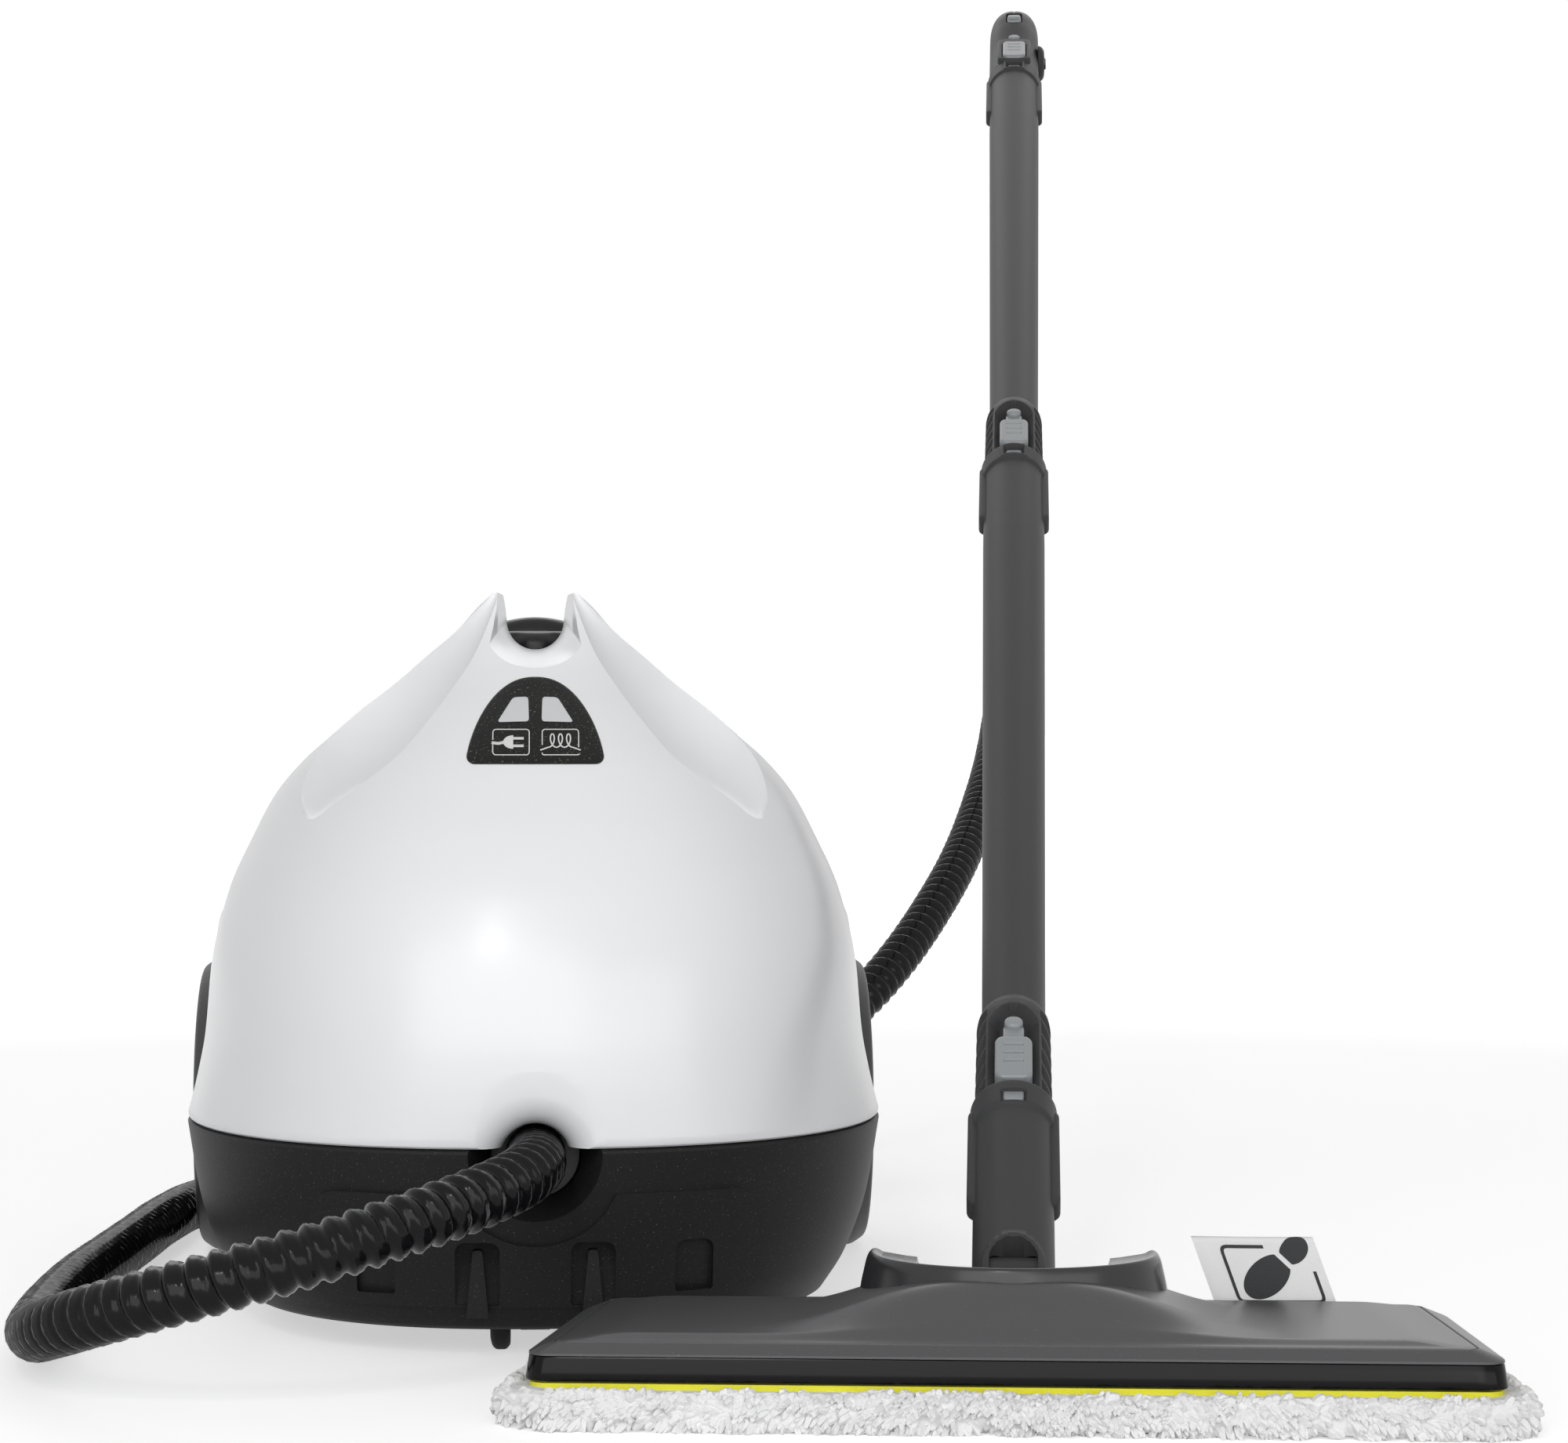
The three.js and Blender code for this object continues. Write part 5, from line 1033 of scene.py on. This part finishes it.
tab = joined("lock_tab", gun_plate(0.0080, 0.0092, 0.0015, lock_at, 0.0100, 0.0172, 0.0012),
             gun_plate(0.0070, 0.0048, 0.0012, lock_at, 0.0150, 0.0184, 0.0008))
settle(tab, "child_lock", latch_grey, ["child_lock"])

dial = soft_corners([(0.0135, 0), (0.0135, 0.0104), (0.0155, 0.0100), (0.0172, 0.0078), (0.0177, 0)], 0.0016)
bar = prism(rounded_box(0.013, 0.0030, 0.0014, (dial_at, 0), 6), 0.0165, 0.0182, 0.0006,
            lambda points: on_stick(points[..., ::-1]))
settle(joined("steam_dial", along_right(dial, dial_at), bar), "steam_selector", charcoal,
       ["steam_selector"])

lever_line = np.array([
    [1.8, 53.8], [8, 51.5], [16, 53], [30, 61], [50, 65], [74, 70], [75, 73], [72, 76], [50, 71.5], [28, 68],
    [17, 65.5], [11, 64], [5, 64], [1, 60], [1.8, 53.8],
]) / 1000


def drawn_in(outline, inset):
    """An outline moved inwards along its own normals."""
    along = direction(np.roll(outline, -1, axis=0) - np.roll(outline, 1, axis=0))
    normal = np.column_stack([-along[:, 1], along[:, 0]])
    area = np.sum(outline[:, 0] * np.roll(outline[:, 1], -1) - outline[:, 1] * np.roll(outline[:, 0], -1))
    return outline + np.sign(area) * inset * normal


lever_outline = soft_corners(lever_line, 0.003, 4)[:-1]
lever_rows = []
for across, inset in ((-0.0058, 0.0012), (-0.0054, 0.0004), (-0.0044, 0),
                      (0.0044, 0), (0.0054, 0.0004), (0.0058, 0.0012)):
    ring = drawn_in(lever_outline, inset)
    lever_rows.append(np.column_stack([np.full(len(ring), across), ring]))
lever = solid("trigger_lever", *skin(on_stick(lever_rows, gun_foot)))
settle(lever, "trigger", latch_grey, ["trigger"])

# ---------- hose sleeve ----------
# A rubber sleeve with soft rings that saves the hose from kinking where it leaves the grip's butt.
sleeve_length, sleeve_radius, sleeve_taper = 0.034, 0.0140, 0.0015
ring_depth, ring_pitch = 0.0005, 0.0048
way = np.linspace(0.0003, sleeve_length, 100)
ringed = eased_step(way, 0.006, 0.009) * eased_step(-way, -0.032, -0.029)
ring_wave = ring_depth * np.cos(2 * np.pi * way / ring_pitch) * ringed
outer = np.column_stack([way, sleeve_radius - sleeve_taper * way / sleeve_length + ring_wave])
inner = [[0.0343, 0.0122], [0.0343, 0.0113], [0.020, 0.0108], [0.0003, 0.0109]]
down_grip = [on_stick(on_grip(grip_length + along), gun_foot) for along in (0, 0.1)]
sleeve = solid("kink_sleeve", *skin(turned(np.vstack([inner[-1:], outer, inner]), 72, *down_grip)))
settle(sleeve, "unit", matt_rubber, ["hose_sleeve"])

# ---------- floor head ----------
# The wide cover of charcoal ABS over the base plate: its flat top swells into a dome round the joint inside a
# fine panel line, its rim is bevelled, and a gloss black skirt is clipped on below.
head_front, head_back, head_half, head_back_half = 0.0665, 0.031, 0.150, 0.142
skirt_foot, skirt_top, cover_edge, cover_flat, cover_crown = 0.0137, 0.0220, 0.0260, 0.0277, 0.0424


def head_plan(front, back, half, back_half, corner, long_steps=100, short_steps=30):
    """Closed plan of the head: its sides are cut into even steps between round corners of nine points."""
    corners = [(half, -front, -90), (back_half, back, 0), (-back_half, back, 90), (-half, -front, 180)]
    arcs = []
    for x, y, start in corners:
        turn = np.radians(start + np.linspace(0, 90, 9))
        middle = [x - np.sign(x) * corner, y - np.sign(y) * corner]
        arcs.append(middle + corner * np.column_stack([np.cos(turn), np.sin(turn)]))
    line = []
    for i, arc in enumerate(arcs):
        steps = long_steps if i % 2 else short_steps
        share = np.linspace(0, 1, steps, endpoint=False)[1:, None]
        line += [arc, arc[-1] * (1 - share) + arcs[(i + 1) % 4][0] * share]
    return np.vstack(line)


def head_row(front_in, side_in, back_in, taper, corner, height):
    """A plan of the head drawn in at its front, sides and back, at a height above the floor."""
    plan = head_plan(head_front - front_in, head_back - back_in, head_half - side_in,
                     head_back_half - side_in - taper, corner)
    return at_height(plan, height)


cover_rim = [  # how far the front, sides and back are drawn in, taper, corner, height
    (0.0003, 0.0003, 0.0003, 0, 0.0068, skirt_top - 0.0002), (0.0004, 0.0004, 0.0004, 0, 0.0067, 0.0225),
    (0.0010, 0.0014, 0.0008, 0.0001, 0.0063, 0.0231), (0.0034, 0.0076, 0.0012, 0.0006, 0.0052, 0.0256),
    (0.0036, 0.0079, 0.0014, 0.0006, 0.0050, 0.0256), (0.0038, 0.0082, 0.0016, 0.0006, 0.0048, 0.0251),
    (0.0041, 0.0086, 0.0019, 0.0006, 0.0046, 0.0251), (0.0043, 0.0089, 0.0021, 0.0006, 0.0045, 0.0257),
    (0.0050, 0.0098, 0.0026, 0.0006, 0.0042, cover_edge),
]


def cover_rows():
    """The bevelled rim with the fine groove inside it, and the top drawn in to its middle. The top rises to
    its flat, swells into a dome that fades to all sides, and sinks to a floor under the joint's collar."""
    middle_y, swell_half, floor_height = -0.018, 0.0545, 0.034
    rows = [head_row(*row) for row in cover_rim]
    last = rows[-1]
    for share in np.concatenate([[0.985, 0.965, 0.94], np.linspace(0.91, 0.02, 56)]):
        x, y = last[:, 0] * share, middle_y + (last[:, 1] - middle_y) * share
        flat = cover_edge + (cover_flat - cover_edge) * eased_step(1 - share, 0, 0.14)
        swell = np.exp(-(np.abs(x / swell_half) ** 3.2))
        swell = swell * eased_step(y, -0.0630, -0.0385) * eased_step(-y, -0.026, 0.004)
        swollen = flat + (cover_crown - cover_flat) * swell
        inside = eased_step(1 - np.hypot(x / 0.0500, y / 0.0425), 0.03, 0.12)
        height = swollen * (1 - inside) + np.minimum(swollen, floor_height) * inside
        rows.append(np.column_stack([x, y, height]))
    return np.array(rows)


def pocket_tool(name):
    """The space that the neck tilts and leans in, open to the back and wider at its top."""
    rows = [[(-half, -0.0162, z), (half, -0.0162, z), (half, 0.06, z), (-half, 0.06, z)]
            for half, z in ((0.024, 0.0166), (0.0335, 0.052))]
    return solid(name, *skin(on_head(rows)))


satin_head = flecked("satin_head", (0.085, 0.085, 0.088), (0.20, 0.20, 0.205), roughness=0.32, share=-0.03,
                     size=0.0006, depth=0.00005, Specular_IOR_Level=0.25)
cover = carve(solid("head_top", *skin(on_head(cover_rows()))), "DIFFERENCE", pocket_tool("pocket"))
settle(cover, "floor_head", satin_head, ["head_cover"], crease=20)

skirt_rows = [head_row(0.004, 0.004, 0.004, 0, 0.004, skirt_foot)]
for inset, height in ((0.0002, skirt_foot), (-0.0005, skirt_foot + 0.0005), (-0.0006, skirt_foot + 0.0012),
                      (0.0004, skirt_top - 0.0008), (0.0008, skirt_top - 0.0002), (0.004, skirt_top)):
    skirt_rows.append(head_row(inset, inset, inset, 0, 0.0070, height))
gloss_skirt = moulded("gloss_black_abs", (0.004, 0.004, 0.005), (0.006, 0.006, 0.007), roughness=0.14,
                      mottle=0.03, grain=0.003, depth=0.000004, Specular_IOR_Level=0.12)
skirt = carve(solid("head_skirt", *skin(on_head(np.array(skirt_rows)))), "DIFFERENCE", pocket_tool("pocket"))
settle(skirt, "floor_head", gloss_skirt, ["base_plate"], crease=30)

# ---------- joint collar ----------
# A gloss charcoal collar round the neck: a crescent with a rounded lip and a smooth dish inside it, and the
# block in its middle that the cross piece leans in.
collar_rows = soft_corners([
    (0.0515, 0.0440, 0.0200), (0.0505, 0.0430, 0.0260), (0.0492, 0.0417, 0.0360), (0.0474, 0.0402, 0.0440),
    (0.0463, 0.0394, 0.0461), (0.0447, 0.0378, 0.0461), (0.0430, 0.0360, 0.0450), (0.036, 0.0290, 0.0438),
    (0.028, 0.020, 0.0428), (0.010, 0.008, 0.0420),
], 0.0016, 7)
turn = full_turn(192)[None, :]
across, forward, height = collar_rows.T[:, :, None]
collar_grid = np.stack([across * np.cos(turn), forward * np.sin(turn), height + 0 * turn], axis=-1)
collar = solid("joint_collar", *skin(on_head(collar_grid)))
behind = skin(on_head([[(-0.1, 0.008 + lean, z), (0.1, 0.008 + lean, z), (0.1, 0.1, z), (-0.1, 0.1, z)]
                       for lean, z in ((0, 0), (-0.003, 0.08))]))
carve(collar, "DIFFERENCE", pocket_tool("pocket"), solid("behind", *behind))
bearing = prism(rounded_box(0.019, 0.017, 0.003, (0, -0.0249)), 0.024, 0.041, 0.0012, on_head)
carve(collar, "UNION", solid("bearing", *bearing))
gloss_collar = moulded("gloss_collar", (0.030, 0.030, 0.032), (0.040, 0.040, 0.042), roughness=0.22,
                       mottle=0.05, grain=0.0010, depth=0.00001, Specular_IOR_Level=0.3)
settle(collar, "floor_head", gloss_collar, ["head_collar"], crease=35)

# ---------- hook and loop strip ----------
# The cloth's yellow backing, which grips hooks under the base plate. Its cut edge is a little ragged.
strip_seed = np.random.default_rng(11)
strip_in = 0.0004
strip_plan = head_plan(head_front - strip_in, head_back - strip_in, head_half - strip_in,
                       head_back_half - strip_in, 0.0068, 400, 120)
middle = strip_plan.mean(axis=0)
strip_rows = []
for share, height, ragged in ((0.97, 0.0098, 0), (1, 0.0100, 0.0008), (1, 0.0118, 0.0005),
                              (1, 0.0134, 0.0003), (0.97, 0.0138, 0)):
    fray = ragged * strip_seed.random(len(strip_plan))
    away = strip_plan - middle
    strip_rows.append(at_height(middle + away * share - fray[:, None] * direction(away), height))
yellow = moulded("yellow_backing", (0.78, 0.74, 0.02), (0.86, 0.84, 0.06), roughness=0.75, mottle=0.05,
                 grain=0.0008, depth=0.0001)
strip = solid("yellow_strip", *skin(on_head(np.array(strip_rows))))
settle(strip, "floor_head", yellow, ["hook_and_loop"])

# ---------- floor cloth ----------
# The washable cloth: a pad of white microfibre whose thick pile stands out all round in small twisted tufts.
cloth_out, cloth_out_back, cloth_corner, cloth_top = 0.0085, 0.004, 0.016, 0.0128
cloth_edge, lump_height, tuft_sides, tuft_count, clump_count = 0.0052, 0.0012, 4, 9000, 1300
pile_seed = np.random.default_rng(7)


def cloth_point(plan, angle, swell=0.0):
    """Points on the pad's rounded edge: angle runs from under it, at -90 degrees, to its top, at 90."""
    away = direction(plan - cloth_middle)
    out = (cloth_edge + swell) * np.cos(angle) - cloth_edge
    rise = 0.5 * cloth_top + (0.5 * cloth_top - 0.0007 + swell) * np.sin(angle)
    spread = plan + away * out[..., None]
    return np.concatenate([spread, np.clip(rise, 0.0002, None)[..., None]], axis=-1), away


cloth_plan = head_plan(head_front + cloth_out, head_back + cloth_out_back, head_half + cloth_out,
                       head_back_half + cloth_out, cloth_corner, 360, 110)
cloth_middle = cloth_plan.mean(axis=0)
angles = np.radians(np.linspace(-88, 88, 26))[:, None]
lump = pile_seed.random((26, len(cloth_plan)))
lump = (lump + np.roll(lump, 1, axis=1) + np.roll(lump, 2, axis=1)) / 3
pad_grid = cloth_point(cloth_plan[None, :], angles + 0 * lump, lump_height * (lump - 0.5))[0]
drawn_plan = cloth_middle + (cloth_plan - cloth_middle) * 0.9
pad = np.vstack([[at_height(drawn_plan, 0.0006)], pad_grid, [at_height(drawn_plan, cloth_top - 0.0012)]])


def tufts(count, clumps):
    """Small tufts, four-sided and pointed, that lie in clumps: every tuft of a clump leans its way, and its
    line sags by the square of the way along it."""
    clump = pile_seed.integers(0, clumps, count)
    at = pile_seed.random(clumps)
    angle = np.radians(pile_seed.uniform(-58, 68, clumps))
    lean = pile_seed.normal(0, 1, (clumps, 3)) * [0.9, 0.9, 0.55]
    place = np.mod(at[clump] + pile_seed.normal(0, 0.0022, count), 1) * len(cloth_plan)
    index = place.astype(int) % len(cloth_plan)
    root, away = cloth_point(cloth_plan[index], angle[clump] + pile_seed.normal(0, 0.16, count), -0.0006)
    out = np.concatenate([away * np.cos(angle[clump])[:, None], np.sin(angle[clump])[:, None]], axis=1)
    way = direction(out + 0.8 * lean[clump] + pile_seed.normal(0, 0.25, (count, 3))) + out * 0.35
    length = pile_seed.uniform(0.0016, 0.0036, count)[:, None, None]
    share = np.array([0, 0.35, 0.7, 0.95])[None, :, None]
    sag = np.array([0, 0, -0.35])
    line = root[:, None] + length * (share * way[:, None] + share**2 * sag)
    side = direction(np.cross(way, [0.2, 0.1, 1.0]))
    over = np.cross(side, way)
    turn = full_turn(tuft_sides)[None, None, :, None]
    thickness = np.array([0.9, 1, 0.9, 0.5])[None, :, None, None]
    radius = pile_seed.uniform(0.0008, 0.0013, count)[:, None, None, None] * thickness
    spoke = np.cos(turn) * side[:, None, None] + np.sin(turn) * over[:, None, None]
    ring = line[:, :, None] + radius * spoke
    ring[..., 2] = np.clip(ring[..., 2], 0.0001, 0.0140)
    faces = np.array(quads(4, tuft_sides) + [(3, 2, 1, 0), (12, 13, 14, 15)])
    return ring.reshape(-1, 3), (faces[None] + 16 * np.arange(count)[:, None, None]).reshape(-1, 4)


tuft_points, tuft_faces = tufts(tuft_count, clump_count)
cloth = joined("microfibre_cloth", skin(on_head(pad)), (on_head(tuft_points), tuft_faces.tolist()))
fibre = moulded("white_microfibre", grey(0.80), grey(0.90), roughness=0.9, mottle=0.04,
                grain=0.0011, depth=0.0002, Sheen_Weight=0.3)
settle(cloth, "floor_head", fibre, ["floor_cloth"], crease=60)

# ---------- foot tag ----------
# A woven ribbon folded double and sewn to the cloth's back edge, to step on and pull the cloth off. It has a
# footprint in a frame woven into it in black.
ribbon_width, ribbon_foot, ribbon_top, ribbon_fold = 0.040, 0.0105, 0.0468, 0.0015
ribbon_left, ribbon_back, ribbon_lean = 0.0585, 0.0352, 0.36
ribbon_drop = ribbon_top - ribbon_fold - ribbon_foot
ribbon_length = 2 * ribbon_drop + np.pi * ribbon_fold
half_layer, weave_low, weave_high = 0.00022, 0.0002, 0.00036


def ribbon(across, along, proud=0.0):
    """Point of the ribbon's middle layer: along runs up its front, over the fold and down its back, and
    across runs along the head. Both layers lean to the left, bulge outwards and bow ahead by half sine
    waves, and the front one's left edge curls ahead by a bell curve."""
    across, along, proud = np.broadcast_arrays(across, along, proud)
    past = along - ribbon_drop
    bend = np.clip(past / ribbon_fold, 0, np.pi)
    down = np.where(past < 0, -past, np.clip(past - np.pi * ribbon_fold, 0, None))
    height = ribbon_foot + ribbon_drop - down + (ribbon_fold + proud) * np.sin(bend)
    layer = -np.cos(bend)
    bulge = 0.0012 * np.sin(np.pi * np.clip(down / ribbon_drop, 0, 1))
    bow = 0.0010 * np.sin(np.pi * across / ribbon_width)
    curl = 0.0018 * np.exp(-((across / 0.005) ** 2)) * (layer < 0)
    y = ribbon_back + layer * (ribbon_fold + proud + bulge) - bow - curl
    x = ribbon_left + across + ribbon_lean * (ribbon_top - height)
    return np.stack([x, y, height], axis=-1)


u = np.linspace(0, ribbon_width, 33)[None, :]
fold_end = ribbon_drop + np.pi * ribbon_fold
round_fold = ribbon_drop + np.pi * ribbon_fold * np.linspace(0.08, 0.92, 13)
v = np.concatenate([np.linspace(0, ribbon_drop, 30), round_fold, np.linspace(fold_end, ribbon_length, 30)])
front, rear = ribbon(u, v[:, None], half_layer), ribbon(u, v[:, None], -half_layer)
tag = solid("foot_ribbon", *skin(on_head(np.concatenate([front, rear[:, ::-1]], axis=1))))
woven = moulded("woven_ribbon", grey(0.80), grey(0.88), roughness=0.8, mottle=0.05, grain=0.0005,
                depth=0.00012)
settle(tag, "floor_head", woven, ["foot_tag"], crease=50)


def woven_line(path, width):
    """A flat line laid on the ribbon's front along a path of places across it and along it."""
    path = filled_in(path, 0.0005)
    edge = line_edges(path, width)
    ring = [ribbon(*(path + way * edge).T, lift)
            for way, lift in ((-1, weave_low), (1, weave_low), (1, weave_high), (-1, weave_high))]
    return skin(on_head(np.stack(ring, axis=1)))


def woven_patch(outline):
    """A flat patch laid on the ribbon's front inside an outline, as rings drawn in to its middle."""
    outline = filled_in(np.vstack([outline, outline[:1]]), 0.0005)[:-1]
    middle = outline.mean(axis=0)
    rows = middle + (outline - middle) * np.concatenate([[1, 1], np.linspace(0.97, 0.04, 10)])[:, None, None]
    lift = np.array([weave_low] + [weave_high] * 11)[:, None]
    return skin(on_head(ribbon(rows[..., 0], rows[..., 1], lift)))


def footprint(middle, long_half, short_half, lean, cut):
    """An ellipse that leans and is cut off straight at a share of its long half, on the side of the sign."""
    turn = full_turn(60)
    long_way = np.clip(np.cos(turn), *sorted((cut, -2 * np.sign(cut))))
    points = np.column_stack([long_half * long_way, short_half * np.sin(turn)])
    c, s = np.cos(lean), np.sin(lean)
    return np.array(middle) + points @ np.array([[c, s], [-s, c]])


frame_line = soft_corners([(0.0225, 0.0335), (0.0085, 0.0335), (0.0085, 0.0155), (0.0365, 0.0155),
                           (0.0365, 0.0255)], 0.002)
lean = np.radians(36)
marks = [
    solid("tag_frame", *woven_line(frame_line, 0.0011)),
    solid("tag_sole", *woven_patch(footprint((0.0203, 0.0237), 0.0104, 0.0051, lean, 0.80))),
    solid("tag_heel", *woven_patch(footprint((0.0321, 0.0323), 0.0060, 0.0036, lean, -0.74))),
]
black_weave = moulded("black_weave", (0.012, 0.013, 0.015), (0.03, 0.03, 0.032), roughness=0.7, mottle=0.05,
                      grain=0.0005, depth=0.00015)
for mark in marks:
    settle(mark, "floor_head", black_weave, crease=50)

# ---------- castor fork and screws ----------
# The castor's fork and the gland of the mains lead are black nylon. The base is held by steel screws.
def dress(material, *names):
    """Gives nodes of the CAD model that still show a finish of their own."""
    for name in names:
        shown = frame["nodes"][name].data.materials
        shown.clear()
        shown.append(material)


dress(dark_nylon, "castor_fork", "mains_inlet_gland", "boiler_cradle", "cap_plug")
steel = moulded("drawn_steel", (0.55, 0.55, 0.56), (0.50, 0.50, 0.51), roughness=0.30, mottle=0.06,
                grain=0.0015, depth=0.00001, Metallic=1.0)
dress(steel, "wheel_axle", "trigger_pin", "tilt_pin", *[f"base_screw_{count}" for count in (1, 2, 3, 4)])

# ---------- boiler ----------
# Two pressed and welded stainless half shells with a steel heating element, and a filler neck, a valve and a
# thermostat of brass screwed into them.
pressed = moulded("pressed_stainless", grey(0.60), (0.52, 0.52, 0.53), roughness=0.36, mottle=0.08,
                  grain=0.003, depth=0.00002, Metallic=1.0)
dress(pressed, "boiler_lower", "boiler_upper", "heating_element")
brass = moulded("turned_brass", (0.70, 0.52, 0.24), (0.62, 0.45, 0.20), roughness=0.28, mottle=0.06,
                grain=0.0015, depth=0.00001, Metallic=1.0)
dress(brass, "filler_neck", "steam_valve", "thermostat")

# ---------- seals, inner pipes and lamp board ----------
# Silicone rings at each joint, and the thin pipes of grey plastic that lead the steam up the tubes. The lamps
# sit on a green printed board behind their windows.
dress(matt_rubber, "cap_seal", "seal_lower", "seal_upper", "gun_seal")
pipe_grey = moulded("pipe_plastic", (0.30, 0.30, 0.31), (0.26, 0.26, 0.27), roughness=0.35, mottle=0.05,
                    grain=0.002, depth=0.00001)
dress(pipe_grey, "inner_pipe_lower", "inner_pipe_upper", "gun_pipe", "gun_connector", "unit_steam_pipe")
board_green = moulded("circuit_green", (0.02, 0.16, 0.07), (0.03, 0.20, 0.09), roughness=0.45, mottle=0.05,
                      grain=0.001, depth=0.00001)
dress(board_green, "lamp_board")

# ---------- studio ----------
# A pale floor that glows more the further it is away, a wide soft lamp in front on the left with a small one
# above it for the glint, a dimmer one in front on the right and one high behind.
floor_half = 60
floor_mesh = bpy.data.meshes.new("floor")
floor_corners = [(x * floor_half, y * floor_half, 0) for x, y in ((-1, -1), (1, -1), (1, 1), (-1, 1))]
floor_mesh.from_pydata(floor_corners, [], [(0, 1, 2, 3)])
floor = bpy.data.objects.new("floor", floor_mesh)
bpy.context.scene.collection.objects.link(floor)
pale, pale_tree, pale_shader = shader_of("pale_floor", grey(0.80), 0.9, Specular_IOR_Level=0.2)


def worked_out(tree, operation, first, second):
    """A math node's value from two other nodes' outputs."""
    step = add(tree, "ShaderNodeMath")
    step.operation = operation
    tree.links.new(first, step.inputs[0])
    tree.links.new(second, step.inputs[1])
    return step.outputs["Value"]


def background_rays(tree):
    """1 for the rays that see the white background: from the camera, and by way of gloss or glass."""
    path = add(tree, "ShaderNodeLightPath").outputs
    seen = worked_out(tree, "MAXIMUM", path["Is Camera Ray"], path["Is Glossy Ray"])
    return worked_out(tree, "MAXIMUM", seen, path["Is Transmission Ray"])


away = add(pale_tree, "ShaderNodeVectorMath", Vector=add(pale_tree, "ShaderNodeTexCoord").outputs["Object"])
away.operation = "LENGTH"
glow = add(pale_tree, "ShaderNodeMapRange", Value=away.outputs["Value"], From_Min=0.9, From_Max=2.4,
           To_Min=0.55, To_Max=1.0)
shown = worked_out(pale_tree, "MULTIPLY", background_rays(pale_tree), glow.outputs["Result"])
pale_tree.links.new(shown, pale_shader.inputs["Emission Strength"])
pale_shader.inputs["Emission Color"].default_value = (1, 1, 1, 1)
floor_mesh.materials.append(pale)

world = bpy.data.worlds.new("studio")
bpy.context.scene.world = world
world.use_nodes = True
sky = world.node_tree.nodes["Background"]
sky.inputs["Color"].default_value = (1, 1, 1, 1)
light_level, seen_level = 0.26, 1.0
strength = add(world.node_tree, "ShaderNodeMapRange", Value=background_rays(world.node_tree),
               To_Min=light_level, To_Max=seen_level)
world.node_tree.links.new(strength.outputs["Result"], sky.inputs["Strength"])


def soft_lamp(name, place, target, width, height, power):
    """A square of light of that size and power that looks from a place to a target."""
    lamp = bpy.data.objects.new(name, bpy.data.lights.new(name, "AREA"))
    lamp.data.shape = "RECTANGLE"
    lamp.data.size, lamp.data.size_y, lamp.data.energy = width, height, power
    bpy.context.scene.collection.objects.link(lamp)
    lamp.location = place
    lamp.rotation_euler = (Vector(place) - Vector(target)).to_track_quat("Z", "Y").to_euler()


soft_lamp("key_lamp", (-0.8, -3.0, 1.0), (0, 0, 0.15), 2.6, 1.8, 37)
soft_lamp("glint_lamp", (-0.55, -2.6, 1.7), (0, 0, 0.1), 0.25, 0.25, 5)
soft_lamp("fill_lamp", (1.3, -2.8, 0.6), (0, 0, 0.15), 2.4, 1.2, 17)
soft_lamp("back_lamp", (0.2, 2.1, 2.0), (0, 0, 0.3), 2.4, 1.2, 12)
bpy.context.scene.view_settings.view_transform = "Standard"
